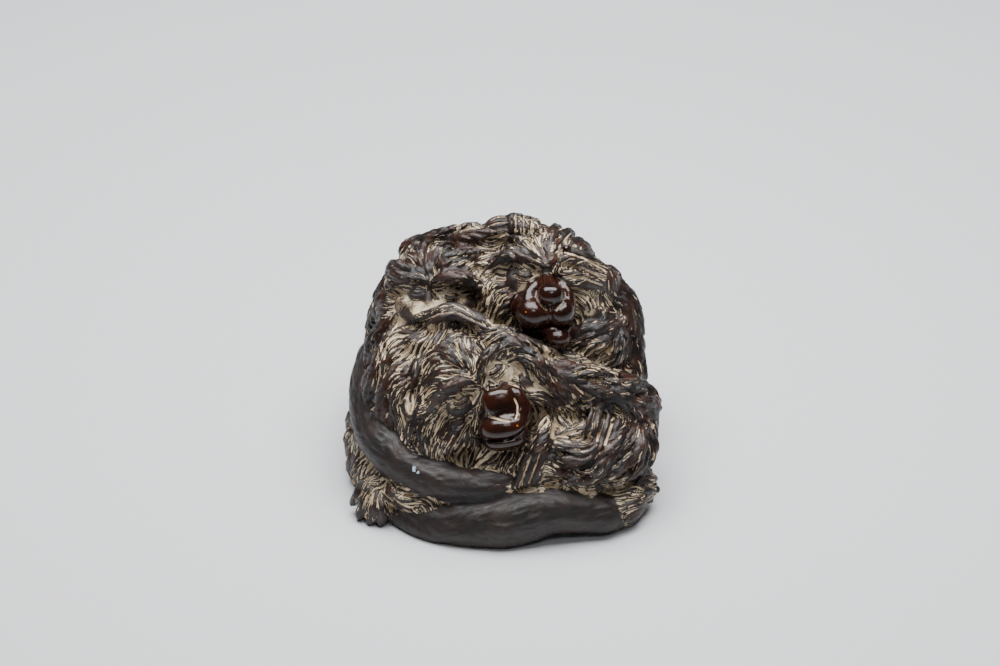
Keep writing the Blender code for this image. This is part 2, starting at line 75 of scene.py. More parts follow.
# %% Measures and the viewer's axes
MM = 0.001
# one broad lock of fur, and how far the locks rise
LOCK_LENGTH = 25.0
LOCK_WIDTH = 7.5
LOCK_DEPTH = 3.6
# the grid on which the masses are kneaded, and the finer one for faces and hands
SCULPT_GRID = 1.5
DETAIL_GRID = 0.9
SEED = 7
# the viewer looks down this steeply
SIGHT_SLOPE = math.radians(36)
ACROSS = Vector((1, 0, 0))
UP = Vector((0, math.sin(SIGHT_SLOPE), math.cos(SIGHT_SLOPE)))
OUT = Vector((0, -math.cos(SIGHT_SLOPE), math.sin(SIGHT_SLOPE)))
WORLD = (Vector((1, 0, 0)), Vector((0, 1, 0)), Vector((0, 0, 1)))


def seen(across, up, out):
    """A point as the viewer sees it."""
    return ACROSS * across + UP * up + OUT * out


def tilted(degrees):
    """The viewer's axes, turned in the picture so that up leans to the left."""
    turn = math.radians(degrees)
    return (
        ACROSS * math.cos(turn) + UP * math.sin(turn),
        UP * math.cos(turn) - ACROSS * math.sin(turn),
        OUT,
    )


# %% [markdown]
# ## Forms
#
# A potter lays on lumps and rolls of clay, and so does this list. Every form is an egg or a roll. Its comb
# says which way the hair on it lies: down, along the roll, or as a function of the place. Bare forms are
# glossy muzzles and claws, and skin is what has neither fur nor gloss. Sculpting by hand in the viewport
# would do as well, but it leaves no sizes that can be changed later.

# %% Eggs and rolls
def ball(centre, radii, axes=(ACROSS, UP, OUT), comb="down", squareness=2.0, relief=1.0):
    """An egg with its three half-lengths along the given axes. Above 2 it turns into a block."""
    return {
        "kind": "ball",
        "centre": Vector(centre),
        "radii": radii,
        "axes": axes,
        "comb": comb,
        "squareness": squareness,
        "relief": 0.0 if comb in ("bare", "skin") else relief,
    }


def roll(stations, comb="along", relief=1.0):
    """A roll along a smooth line. A station is a place as the viewer sees it, and its radius."""
    return {
        "kind": "roll",
        "points": [seen(*place) for *place, _ in stations],
        "radii": [radius for *_, radius in stations],
        "comb": comb,
        "relief": 0.0 if comb in ("bare", "skin") else relief,
    }


# %% Combs
FALL_STARTS = 22
FALL_GROWS_OVER = 20


def away_from(place, fall=0.0):
    """A comb from one point outwards, in which the hair far from the point also falls."""

    def comb(points):
        away = points - np.array(place)
        far = np.clip((np.linalg.norm(away, axis=1) - FALL_STARTS) / FALL_GROWS_OVER, 0, 1)[:, None]
        return unit_rows(away) - fall * far * np.array(UP)

    return comb


def toward(across, up, out=0):
    """A comb that lies one way everywhere."""
    return lambda points: np.tile(seen(across, up, out), (len(points), 1))


def around(place):
    """A comb in arcs round a line of sight, clockwise for the viewer."""
    return lambda points: np.cross(points - np.array(place), OUT)


# %% Trunk
# The trunk of the group. What stands at the back is given in plain x, y, z.
BODIES = [
    ball(seen(0, 42, 6), (67, 73, 48)),
    ball(seen(-36, 62, 6), (33, 46, 40)),
    ball(seen(36, 58, 6), (35, 45, 40)),
    ball((0, 35, 44), (52, 38, 47), WORLD),
    ball((0, 2, 16), (63, 64, 24), WORLD),
    ball((-31, 32, 26), (30, 31, 27), WORLD),
    ball((32, 32, 26), (30, 31, 27), WORLD),
    # front monkey: shoulder mane, and the fur of its back up to the others' chins
    ball(seen(-38, 38, 32), (32, 32, 31)),
    ball(seen(-28, 60, 38), (28, 12, 25)),
    ball(seen(-54, 56, 26), (15, 18, 24)),
    # haunch and flank at the left edge
    ball(seen(-61.5, 10, 16), (18, 30, 26)),
    # right monkey: chest under its chin, and shoulder
    ball(seen(44, 62, 30), (22, 18, 24), comb=toward(-0.8, -0.6)),
    ball(seen(45, 83, 18), (18, 19, 24)),
    # napes and cheeks, between the two heads at the top
    ball(seen(-6, 98, 22), (26, 19, 22)),
    ball(seen(-13, 101, 33), (19, 12, 19), comb=toward(0.95, -0.2)),
    ball(seen(-9, 87, 37), (8, 14, 13)),
    # front monkey: chest beside its muzzle, and fur under the fingers of its long arm
    ball(seen(29, 18, 47), (16, 16, 15)),
    ball(seen(-24, 66, 48), (17, 8, 14)),
    ball(seen(4, 2, 52), (18, 14, 12)),
]

# %% Limbs
LIMBS = [
    # front monkey: far arm, from the knee on which it rests to the mouth of the left monkey
    roll(
        [
            (-12, 65, 61, 4.5), (2, 61, 62, 7), (13, 52, 60, 11), (26, 43, 56, 14), (43, 37, 53, 13),
            (60, 33, 46, 12), (69.5, 30, 37, 10),
        ]
    ),
    # its smooth elbow and knee at the right edge
    ball(seen(67.5, 20, 36), (11.5, 18, 15), tilted(-8), relief=0.15),
    # the fur that hangs from that arm
    ball(seen(40, 33.5, 54), (19, 8, 12), tilted(-14), toward(-0.85, -0.5)),
    # front monkey: folded leg under that arm
    roll([(66, 20, 38, 13), (58, 9, 45, 18), (42, 5, 52, 18), (22, 0, 55, 13)], around(seen(36, 32, 0))),
    # front monkey: near arm down the left side and under the chin
    roll(
        [
            (-65, 54, 12, 9), (-66, 36, 23, 12), (-62, 18, 35, 13), (-52, 4, 46, 12),
            (-36, -6, 54, 10), (-16, -10, 59, 8), (0, -9, 60, 6),
        ],
        relief=0.15,
    ),
    # front monkey: shin laid along the front of the base
    roll(
        [
            (-50, -26, 42, 7), (-36, -29.5, 48, 9.5), (-21, -29, 51, 12.5), (-1, -27.5, 52, 15.5),
            (12, -24.5, 53, 14.5), (24, -21.5, 54, 12.8), (36, -22.5, 52, 11.8), (50, -24.5, 50, 10),
        ],
        relief=0.15,
    ),
    # its foot, lifted off the ground at the right
    roll([(48, -25, 49, 9), (60, -21, 45, 9.5), (69, -11, 38, 7.5)], relief=0.5),
    # haunch fur between the near arm and the shin, and the foot below it
    ball(seen(-41, -16, 47), (19, 9, 11), tilted(-18), toward(0.75, -0.6)),
    roll([(-52, -6, 36, 9), (-62, -11, 36, 9), (-65, -16, 37, 7)], relief=0.5),
    ball(seen(-55, -20, 37), (11, 9, 11)),
    # left monkey: arm round the others' shoulders, over the top
    roll([(-45, 103.5, 26, 9.5), (-28, 110, 36, 8), (-10, 113.5, 42, 6.5), (4, 115, 43, 6)]),
    # right monkey: forearm down the right side
    roll([(52, 90, 32, 8), (59.5, 78, 28, 10), (61.5, 60, 24, 10.5), (62, 42, 22, 11)], relief=0.6),
]

# %% Skulls
SKULLS = [
    # front monkey, its head laid on its side
    ball(seen(-18, 41, 45), (29, 27, 29), tilted(30)),
    ball(seen(-26, 21, 48), (26, 20, 20), tilted(20)),
    ball(seen(8, 38, 51), (18, 17, 17)),
    # right monkey
    ball(seen(20, 94, 32), (28, 26, 29)),
    ball(seen(0, 84, 43), (14, 18, 16)),
    ball(seen(37, 84, 42), (15, 14, 14)),
    # left monkey
    ball(seen(-33, 90, 26), (25, 24, 28)),
    ball(seen(-56, 76.5, 31), (9.5, 13, 13)),
    ball(seen(-34, 77.5, 40), (20, 11, 14), comb="skin"),
]

FUR_OF_FRONT = away_from(seen(-12, 40, 66), 1.6)
FUR_OF_RIGHT = away_from(seen(21, 97, 55), 0.8)
FUR_OF_LEFT = away_from(seen(-36, 87, 50), 0.5)
for skull, comb in zip(SKULLS, [FUR_OF_FRONT] * 3 + [FUR_OF_RIGHT] * 3 + [FUR_OF_LEFT] * 2):
    skull["comb"] = comb

# %% Faces
FACES = [
    # front monkey: brows and closed lids
    roll([(-12, 42, 73, 4.5), (-19, 40.5, 74, 5), (-27, 36, 72, 5), (-33, 29, 67, 4)], FUR_OF_FRONT),
    roll([(-12, 43, 73, 4.5), (-8.5, 52, 72, 4.5), (0, 55, 69, 4.5), (9, 52, 65, 4)], FUR_OF_FRONT),
    ball(seen(-20.5, 31.5, 69), (7.8, 6.5, 4.5), tilted(30), "skin"),
    ball(seen(-20, 31, 71), (5.2, 3.3, 4.2), tilted(35), "skin"),
    ball(seen(-3.5, 45.5, 65.5), (8.5, 6.5, 4.5), tilted(20), "skin"),
    ball(seen(-3, 46, 68), (5, 3.3, 4), tilted(42), "skin"),
    ball(seen(12, 41, 62.5), (6, 7, 6), tilted(25), "skin"),
    # its muzzle: the block, the fold along its right side, the flat nose, upper lip, and lower lip
    ball(seen(1, 25.5, 62), (13, 14, 14), tilted(24), "bare", 2.6),
    roll([(1, 38.5, 69.5, 2.5), (7.5, 35, 70.5, 3.2), (11, 28, 70, 3.4), (10.5, 21, 69, 3)], "bare"),
    ball(seen(-2, 31.5, 72), (8, 7, 5.5), tilted(12), "bare", 3.0),
    ball(seen(0.5, 19, 68.5), (12.3, 7, 11.5), tilted(10), "bare", 2.5),
    ball(seen(1.5, 12.5, 67), (11, 5, 9.5), tilted(8), "bare", 2.3),
    # right monkey: brows, the one eye that shows, and cheek
    roll([(-2, 98, 52, 4), (5, 102.5, 57, 4.5), (13, 101.5, 61, 4.5), (21, 97.5, 61, 3.5)], FUR_OF_RIGHT),
    roll([(21, 97.5, 61, 3.5), (29, 101, 60, 4.5), (38, 99, 55, 4)], FUR_OF_RIGHT),
    ball(seen(10.5, 104.5, 53), (9, 4.5, 5.5), tilted(-14), FUR_OF_RIGHT),
    ball(seen(10, 92, 56.5), (8.5, 6.2, 4), tilted(0), "skin"),
    ball(seen(11, 93.2, 58.5), (5, 3, 4), tilted(-6), "skin"),
    ball(seen(41, 79, 47.5), (7.5, 6, 5.5), tilted(-25), "skin"),
    # its muzzle: bridge, nose pad, jaw, folds beside the nose, two lobes of the upper lip, and chin
    roll([(21.7, 95.5, 58, 2.8), (22, 91, 62, 4), (23, 87, 66, 5)], "bare"),
    ball(seen(23.6, 84.6, 68), (6.6, 5, 6), tilted(0), "bare", 2.4),
    ball(seen(19.5, 77, 55), (15, 11, 14), tilted(-8), "bare"),
    roll([(18, 91, 60, 2.2), (13.5, 85.5, 63, 3), (12.5, 79, 65, 4)], "bare"),
    roll([(26, 91, 60, 2.2), (31.8, 86, 63, 2.8), (33, 79, 63, 3.5)], "bare"),
    ball(seen(14.8, 75.5, 63), (9, 8, 9.5), tilted(-10), "bare"),
    ball(seen(28.6, 76, 64), (7.6, 7.5, 9), tilted(10), "bare"),
    ball(seen(26, 68, 58), (9.5, 5, 8.5), tilted(6), "bare"),
    ball(seen(27.3, 63, 60), (7, 5.2, 8), tilted(0), "bare"),
    # left monkey: brows, lids, nose and cheeks above the fingers that cover its mouth
    roll([(-54, 90, 43, 3.5), (-45, 92, 49, 4), (-37, 90, 53, 3)], FUR_OF_LEFT),
    roll([(-37, 90, 53, 3), (-29, 91.5, 56, 4.2), (-20, 91.5, 55, 4.5), (-13, 88.5, 51, 3.5)], FUR_OF_LEFT),
    ball(seen(-24.5, 97.5, 48), (12.5, 8.5, 9), tilted(-15), FUR_OF_LEFT),
    ball(seen(-47.5, 97, 41), (10, 7.5, 9), tilted(18), FUR_OF_LEFT),
    ball(seen(-42.4, 84.5, 50), (4.8, 2.8, 4), tilted(0), "skin"),
    ball(seen(-25.6, 83, 51), (4.8, 2.8, 4), tilted(0), "skin"),
    roll([(-36.4, 87, 51, 2.2), (-36.8, 79.5, 53, 3)], "skin"),
    ball(seen(-45.5, 80, 43), (8, 5, 6.5), tilted(0), "skin"),
    ball(seen(-20, 80, 44), (8.5, 5, 6.5), tilted(0), "skin"),
]

# %% Ears
EARS = [
    roll(
        [
            (-42, 37, 59, 1.4), (-46.5, 35.5, 59.5, 1.7), (-48.5, 30.5, 59, 1.8), (-47, 26, 59, 1.7),
            (-42.5, 23.5, 60.5, 1.5),
        ],
        "skin",
    ),
    roll([(41, 74, 49, 1.6), (44.5, 76.5, 49, 1.8), (48, 73.5, 48, 1.9), (46, 69.5, 48.5, 1.8)], "skin"),
    ball(seen(43.5, 72, 48.5), (2.6, 2.6, 2.6), tilted(0), "skin"),
]


# %% Hands
def fingers(tips, roots, radius, bend):
    """Rolls from knuckle to tip, each arched towards the viewer by bend."""
    made = []
    for tip, root in zip(tips, roots):
        middle = [(a + b) / 2 + c for a, b, c in zip(root, tip, (0, 0, bend))]
        made.append(roll([(*root, radius), (*middle, radius), (*tip, radius * 0.85)], relief=0.3))
    return made


HANDS = (
    # right monkey: four fingers over its eye, their two bare claws, and the back of that hand
    fingers(
        [(32.5, 107, 54.5), (28, 103.2, 58.5), (29, 95.6, 61), (30.5, 91.2, 61)],
        [(51.5, 98.5, 44.5), (51, 94.5, 46.5), (50, 91, 47.5), (48.5, 87.5, 48)],
        2.3,
        3,
    )
    + [ball(seen(50.5, 91.5, 38), (8.5, 9, 9.5), relief=0.4)]
    + [ball(seen(31.6, 107.4, 57), (2.1, 1.9, 2.1), tilted(0), "bare")]
    + [ball(seen(27, 103.4, 60.8), (2.1, 1.9, 2.1), tilted(0), "bare")]
    # front monkey: hand hanging below its chin
    + fingers(
        [(6.5 + 4.3 * i, -10 + 0.8 * i, 64) for i in range(3)],
        [(12 + 4.2 * i, 5 + 0.6 * i, 68) for i in range(3)],
        2.2,
        2,
    )
    + [roll([(21, 21, 60, 4), (19.5, 14, 65, 5.2), (16.5, 6, 66.5, 5)], relief=0.5)]
    # four fingers pressed into the fur of its thigh
    + fingers(
        [(40.7 + 3.9 * i, 16 - 1.9 * i, 68.5 - 1.6 * i) for i in range(4)],
        [(44 + 4.4 * i, 27.5 - 1.6 * i, 65 - 1.8 * i) for i in range(4)],
        1.8,
        1.5,
    )
    # two of the long arm's fingers over the left monkey's mouth
    + [
        roll(stations, relief=0.3)
        for stations in (
            [(-44, 72.5, 52.5, 2), (-34, 76, 56.5, 2.6), (-24, 77.8, 59, 2.8), (-10, 71, 62, 3.4)],
            [(-37, 69.5, 57, 2), (-30, 73, 60, 2.6), (-21, 74, 61.5, 2.8), (-8, 67.5, 63, 3.6)],
        )
    ]
    # left monkey: fist on the far shoulder
    + fingers(
        [(4.6 + 4 * i, 117 - 0.6 * i, 50 - 0.6 * i) for i in range(4)],
        [(4.4 + 4 * i, 122.4 + math.sin(1 + 0.7 * i) - 0.8 * i, 43) for i in range(4)],
        2.2,
        3.5,
    )
    + [
        ball(seen(4.6 + 4 * i, 123.2 + math.sin(1 + 0.7 * i) - 0.9 * i, 45), (2.6, 2.4, 3.6), relief=0.3)
        for i in range(4)
    ]
    + [ball(seen(-2, 119, 43), (7.5, 5.2, 6.5), tilted(14), "skin")]
)

# %% Toes
TOES = fingers(
    [(72.5, -4, 35), (75, -8, 35), (76, -13, 36), (73.5, -17, 38)],
    [(67, -4, 41), (69, -8, 43), (69, -13, 45), (67, -17, 46)],
    3.2,
    1,
) + fingers(
    [(-74, -19.5, 37), (-71, -25, 40.5), (-66, -28, 42.5), (-60, -28.5, 44)],
    [(-69, -10, 41), (-66.5, -12, 44), (-62.5, -14, 45.5), (-58.5, -16, 46)],
    3.0,
    2.5,
)

MASSES = BODIES + LIMBS + SKULLS
DETAILS = FACES + EARS + HANDS + TOES

# %% [markdown]
# ## Kneading
#
# The real group is one lump of clay, so the forms have to become one skin. They are laid out as balls and
# strings of balls, and the voxel remesher joins them. Boolean unions would keep sharp seams between them, and
# the remesher rounds those off as a thumb does. The large masses are joined and smoothed first, and then the
# faces, fingers and toes on top of them.

# %% Strings of balls
BEAD_GAP = 0.3


def spline(points, radii, gap):
    """Points of a Catmull-Rom curve no further apart than gap times the local radius."""
    line = []
    ends = [points[0] * 2 - points[1]] + points + [points[-1] * 2 - points[-2]]
    for i in range(len(points) - 1):
        a, b, c, d = ends[i : i + 4]
        steps = max(1, math.ceil((c - b).length / (gap * min(radii[i], radii[i + 1]))))
        for k in range(steps + (i == len(points) - 2)):
            t = k / steps
            place = 0.5 * (2 * b + (c - a) * t + (2 * a - 5 * b + 4 * c - d) * t * t)
            place += 0.5 * (3 * b - a - 3 * c + d) * t**3
            line.append((place, radii[i] + (radii[i + 1] - radii[i]) * t))
    return line


def ball_mesh(rounds, squareness=2.0):
    """A ball of radius 1, or a rounded block where squareness is above 2."""
    bm = bmesh.new()
    bmesh.ops.create_icosphere(bm, subdivisions=rounds, radius=1)
    for v in bm.verts:
        v.co /= sum(abs(part) ** squareness for part in v.co) ** (1 / squareness)
    mesh = bpy.data.meshes.new("ball")
    bm.to_mesh(mesh)
    bm.free()
    return mesh


def form_balls(form, bead):
    """The form's ball, or its string of beads, as separate small meshes."""
    if form["kind"] == "ball":
        turn = Matrix([axis.normalized() for axis in form["axes"]]).transposed().to_4x4()
        shape = ball_mesh(4, form["squareness"])
        shape.transform(Matrix.Translation(form["centre"]) @ turn @ Matrix.Diagonal((*form["radii"], 1)))
        yield shape
        return
    for place, radius in spline(form["points"], form["radii"], BEAD_GAP):
        shape = bead.copy()
        shape.transform(Matrix.Translation(place) @ Matrix.Diagonal((radius, radius, radius, 1)))
        yield shape


def lay_up(name, forms, base=None):
    """One object that holds every form and the base mesh, still apart."""
    bm = bmesh.new()
    if base:
        bm.from_mesh(base)
    bead = ball_mesh(3)
    for form in forms:
        for shape in form_balls(form, bead):
            bm.from_mesh(shape)
            bpy.data.meshes.remove(shape)
    bmesh.ops.recalc_face_normals(bm, faces=bm.faces[:])
    mesh = bpy.data.meshes.new(name)
    bm.to_mesh(mesh)
    bm.free()
    obj = bpy.data.objects.new(name, mesh)
    bpy.context.scene.collection.objects.link(obj)
    return obj


# %% One skin
def as_mesh(obj):
    """The object's mesh with its modifiers applied. The object itself is removed."""
    bpy.context.view_layer.update()
    graph = bpy.context.evaluated_depsgraph_get()
    mesh = bpy.data.meshes.new_from_object(obj.evaluated_get(graph))
    old = obj.data
    bpy.data.objects.remove(obj)
    bpy.data.meshes.remove(old)
    return mesh


def knead(obj, grid):
    """Joins overlapping shapes into one skin."""
    remesh = obj.modifiers.new("knead", "REMESH")
    remesh.mode = "VOXEL"
    remesh.voxel_size = grid
    return as_mesh(obj)


def outer_skin(mesh):
    """Deletes everything but the largest connected shell."""
    bm = bmesh.new()
    bm.from_mesh(mesh)
    left = set(bm.verts)
    shells = []
    while left:
        shell, edge = set(), {left.pop()}
        while edge:
            shell |= edge
            edge = {e.other_vert(v) for v in edge for e in v.link_edges} - shell
        left -= shell
        shells.append(shell)
    largest = max(shells, key=len)
    for shell in shells:
        if shell is not largest:
            bmesh.ops.delete(bm, geom=list(shell), context="VERTS")
    bm.to_mesh(mesh)
    bm.free()


# %% Points, edges and smoothing
def points_of(mesh):
    co = np.empty(len(mesh.vertices) * 3, np.float32)
    mesh.vertices.foreach_get("co", co)
    return co.reshape(-1, 3).astype(float)


def put_points(mesh, points):
    mesh.vertices.foreach_set("co", points.astype(np.float32).ravel())
    mesh.update()


def edges_of(mesh):
    ends = np.empty(len(mesh.edges) * 2, np.int32)
    mesh.edges.foreach_get("vertices", ends)
    return ends.reshape(-1, 2)


def normals_of(mesh):
    out = np.empty(len(mesh.vertices) * 3, np.float32)
    mesh.vertex_normals.foreach_get("vector", out)
    return out.reshape(-1, 3).astype(float)


def neighbour_mean(values, edges):
    """For each vertex, the mean of its neighbours' values."""
    count = np.bincount(edges.ravel(), minlength=len(values))
    total = np.zeros_like(values)
    for axis in range(values.shape[1]):
        total[:, axis] = np.bincount(edges[:, 0], values[edges[:, 1], axis], len(values))
        total[:, axis] += np.bincount(edges[:, 1], values[edges[:, 0], axis], len(values))
    return total / np.maximum(count, 1)[:, None]


def soften(mesh, rounds):
    points, edges = points_of(mesh), edges_of(mesh)
    for _ in range(rounds):
        points += 0.5 * (neighbour_mean(points, edges) - points)
    put_points(mesh, points)


# %% Knead the group
MASS_SMOOTHING = 5
SKIN_SMOOTHING = 1

mass = knead(lay_up("mass", MASSES), SCULPT_GRID)
outer_skin(mass)
soften(mass, MASS_SMOOTHING)
print("Kneaded masses:", len(mass.vertices), "points")
skin = knead(lay_up("skin", DETAILS, mass), DETAIL_GRID)
outer_skin(skin)
soften(skin, SKIN_SMOOTHING)
print("Kneaded skin:", len(skin.vertices), "points")

# %% [markdown]
# ## Coat
#
# The fur of the real figure is modelled clay: broad locks, each combed into strands. Each point of the skin
# takes the comb of the form that it belongs to, and the ways are blended where forms meet. Then locks are
# raised along them. Hair particles would be too thin and wouldn't survive the export, and a bump map
# wouldn't show in the outline, so the skin itself is moved.

# %% Which way the hair lies
LIE_BLENDING = 8


def distance_to(form, points):
    """Roughly how far each point lies outside a form."""
    if form["kind"] == "ball":
        axes = np.array([axis.normalized() for axis in form["axes"]])
        local = (points - np.array(form["centre"])) @ axes.T / np.array(form["radii"])
        return (np.linalg.norm(local, axis=1) - 1) * min(form["radii"])
    best = np.full(len(points), np.inf)
    for centre, radius in spline(form["points"], form["radii"], 0.5):
        best = np.minimum(best, np.linalg.norm(points - np.array(centre), axis=1) - radius)
    return best


def comb_direction(form, points):
    """Which way the hair lies on a form, before it is laid flat on the surface."""
    comb = form["comb"]
    if comb == "along":
        line = np.array([place for place, _ in spline(form["points"], form["radii"], 0.5)])
        ahead = np.gradient(line, axis=0)
        near = np.argmin(((points[:, None] - line[None]) ** 2).sum(2), axis=1)
        return ahead[near]
    if callable(comb):
        return comb(points)
    return np.tile((0.0, 0.0, -1.0), (len(points), 1))


def unit_rows(rows):
    return rows / np.maximum(np.linalg.norm(rows, axis=1), 1e-9)[:, None]


def hair_lie(mesh, forms):
    """For each vertex the way its hair lies, how deep its locks are, and whether it is bare."""
    points, normals, edges = points_of(mesh), normals_of(mesh), edges_of(mesh)
    owner = np.array([distance_to(form, points) for form in forms]).argmin(0)
    lie = np.zeros_like(points)
    cover = np.ones((len(points), 2))
    for i, form in enumerate(forms):
        mine = owner == i
        if mine.any():
            cover[mine] = form["relief"], float(form["comb"] == "bare")
            lie[mine] = unit_rows(comb_direction(form, points[mine]))
    for _ in range(LIE_BLENDING):
        lie = lie + neighbour_mean(lie, edges)
        lie -= normals * (lie * normals).sum(1)[:, None]
        lie = unit_rows(lie)
        smooth = 0.5 * (cover + neighbour_mean(cover, edges))
        cover = np.stack([np.minimum(cover[:, 0], smooth[:, 0]), smooth[:, 1]], 1)
    return lie, cover[:, 0], cover[:, 1]


# %% Locks
LOCK_TRIES = 9000
STROKE_STEPS = 10
# how close one stroke starts to the next, as shares of its length and width
NEXT_ALONG = 0.55
NEXT_BESIDE = 0.92
# a stroke's half-width as a share of its width, so that neighbours overlap
STROKE_HALF = 0.56
# the height that counts as level, so that creases sink as well as locks rise
LEVEL = 0.6


def point_tree(points):
    tree = KDTree(len(points))
    for i, point in enumerate(points):
        tree.insert(point, i)
    tree.balance()
    return tree


def stroke_roots(points, normals, lie, candidates, length, width):
    """Where strokes start, spread so that they lie side by side and overlap like shingles."""
    chosen = []
    places = np.empty((len(candidates), 3))
    for i in candidates:
        away = places[: len(chosen)] - points[i]
        along = away @ lie[i] / length
        side = away @ np.cross(normals[i], lie[i]) / width
        above = away @ normals[i] / width
        if not len(chosen) or (along**2 + side**2 + above**2).min() > 1:
            places[len(chosen)] = points[i]
            chosen.append(i)
    return chosen


def comb_locks(mesh, lie, depth, length, width, rise, tries):
    """Raises locks that follow the lie of the coat, with a crease between neighbours.

    Returns the lock on which each vertex lies, or -1, and the places, ways and sides along each lock.
    """
    points, normals = points_of(mesh), normals_of(mesh)
    tree = point_tree(points)
    lift = np.zeros(len(points))
    owner = np.full(len(points), -1)
    paths = []
    order = np.random.default_rng(SEED).permutation(np.flatnonzero(depth > 0.1))[:tries]
    for root in stroke_roots(points, normals, lie, order, NEXT_ALONG * length, NEXT_BESIDE * width):
        spot = points[root] - lie[root] * 0.4 * length
        path = []
        for step in range(STROKE_STEPS + 1):
            _, near, _ = tree.find(spot)
            normal, way = normals[near], lie[near]
            spot = spot - normal * np.dot(spot - points[near], normal)
            along = step / STROKE_STEPS
            aside = np.cross(normal, way)
            path.append((spot, way, aside))
            # narrower at the root, full along the middle, and pointed at the tip
            half = STROKE_HALF * width * min(1, 2.5 * along + 0.35, 2.2 * (1.08 - along))
            found = np.array([i for _, i, _ in tree.find_range(spot, half)], int)
            if len(found):
                side = (points[found] - spot) @ aside / half
                # round across, and low at the root, where it comes out from under its neighbours
                height = np.sqrt(np.clip(1 - side**2, 0, 1)) * min(1, 0.2 + 1.3 * along)
                owner[found[height > lift[found]]] = len(paths)
                lift[found] = np.maximum(lift[found], height)
            spot = spot + way * length / STROKE_STEPS
        paths.append(path)
    put_points(mesh, points + normals * ((lift - LEVEL) * rise * depth)[:, None])
    return owner, np.array(paths)


lie, fur, bare = hair_lie(skin, MASSES + DETAILS)
_, lock_paths = comb_locks(skin, lie, fur, LOCK_LENGTH, LOCK_WIDTH, LOCK_DEPTH, LOCK_TRIES)
print(len(lock_paths), "broad locks")


# %% [markdown]
# ## Finer skin
#
# Real hair waves, so the lie is swung a little from side to side. What is known of each point is kept in the
# mesh as an attribute, because attributes come through a subdivision, which makes the grid fine enough for
# strands. Below, the figure is cut off flat, as a potter cuts clay off the board with a wire.

# %% Values kept with the points
def keep(mesh, name, values):
    """Stores a number or a vector for each vertex."""
    kind, field = ("FLOAT", "value") if values.ndim == 1 else ("FLOAT_VECTOR", "vector")
    layer = mesh.attributes.get(name) or mesh.attributes.new(name, kind, "POINT")
    layer.data.foreach_set(field, values.astype(np.float32).ravel())


def kept(mesh, name):
    """Reads back what keep has stored."""
    layer = mesh.attributes[name]
    if layer.data_type == "FLOAT":
        values = np.empty(len(mesh.vertices), np.float32)
        layer.data.foreach_get("value", values)
        return values.astype(float)
    values = np.empty(len(mesh.vertices) * 3, np.float32)
    layer.data.foreach_get("vector", values)
    return values.reshape(-1, 3).astype(float)


def refine(mesh):
    """Halves the mesh's grid and keeps its curves smooth."""
    obj = bpy.data.objects.new("refined", mesh)
    bpy.context.scene.collection.objects.link(obj)
    subsurf = obj.modifiers.new("refine", "SUBSURF")
    subsurf.levels = subsurf.render_levels = 1
    subsurf.use_limit_surface = False
    return as_mesh(obj)


# %% Waves in the coat
WAVE_LENGTH = 14.0
WAVE_SWING = math.radians(38)


def wave(points, normals, lie):
    """The lie, swung gently left and right of itself as real hair is."""
    swing = np.array([noise.noise(Vector(point) / WAVE_LENGTH) for point in points]) * 2 * WAVE_SWING
    aside = np.cross(normals, lie)
    return unit_rows(lie * np.cos(swing)[:, None] + aside * np.sin(swing)[:, None])


def hollowness(mesh, rounds, full):
    """From -1 on ridges to 1 in hollows, at the scale of so many smoothings. Full is a depth in mm."""
    points, normals, edges = points_of(mesh), normals_of(mesh), edges_of(mesh)
    smooth = points.copy()
    for _ in range(rounds):
        smooth += 0.5 * (neighbour_mean(smooth, edges) - smooth)
    return np.clip(((smooth - points) * normals).sum(1) / full, -1, 1)


# %% Flat underside
def cut_base(mesh, height):
    """Cuts everything below a height away and closes the cut with a flat face."""
    bm = bmesh.new()
    bm.from_mesh(mesh)
    everything = bm.verts[:] + bm.edges[:] + bm.faces[:]
    bmesh.ops.bisect_plane(
        bm, geom=everything, dist=1e-4, plane_co=(0, 0, height), plane_no=(0, 0, -1), clear_outer=True
    )
    rim = [edge for edge in bm.edges if edge.is_boundary]
    bmesh.ops.contextual_create(bm, geom=rim)
    bmesh.ops.triangulate(bm, faces=bm.faces[:])
    bm.to_mesh(mesh)
    bm.free()


# a first cut leaves a little clay below the ground, and the last cut takes it away
SPARE_BELOW = 3.0
# valleys between heads and limbs are found by this much smoothing, and this deep they count as full
VALLEY_SMOOTHING = 160
VALLEY_DEPTH = 3.0

keep(skin, "lie", wave(points_of(skin), normals_of(skin), lie))
keep(skin, "fur", fur)
keep(skin, "bare", bare)
keep(skin, "valley", hollowness(skin, VALLEY_SMOOTHING, VALLEY_DEPTH))
cut_base(skin, -SPARE_BELOW)
fine = refine(skin)
print("Refined skin:", len(fine.vertices), "points")

# %% [markdown]
# ## Strands
#
# On the real figure each lock is scored into strands. They are raised in the same way as the locks, but on
# the finer skin, and stay shallow on limbs with little fur.

# %% Strands
STRAND_LENGTH = 12.0
STRAND_WIDTH = 2.5
STRAND_DEPTH = 1.25
STRAND_TRIES = 34000
# a power of the fur's depth: below 1, strands show a little more on short fur than locks do
SHORT_FUR_SHOWS = 0.8

fine_lie, fine_fur = unit_rows(kept(fine, "lie")), kept(fine, "fur")
sizes = STRAND_LENGTH, STRAND_WIDTH, STRAND_DEPTH
owner, strand_paths = comb_locks(fine, fine_lie, fine_fur**SHORT_FUR_SHOWS, *sizes, STRAND_TRIES)
combed_points = points_of(fine)
print(len(strand_paths), "strands")

# %% [markdown]
# ## Marks
#
# Mouths, nostrils, closed lids and the gaps between fingers are lines that a pointed stick has pressed into
# the clay. Each is drawn as the viewer sees it, and the skin along it is pushed away from the viewer. Cutting
# them with Booleans would leave hard walls, and they could not fade out at their ends. A line also says how
# much slip stays in it, which the glaze reads further down.

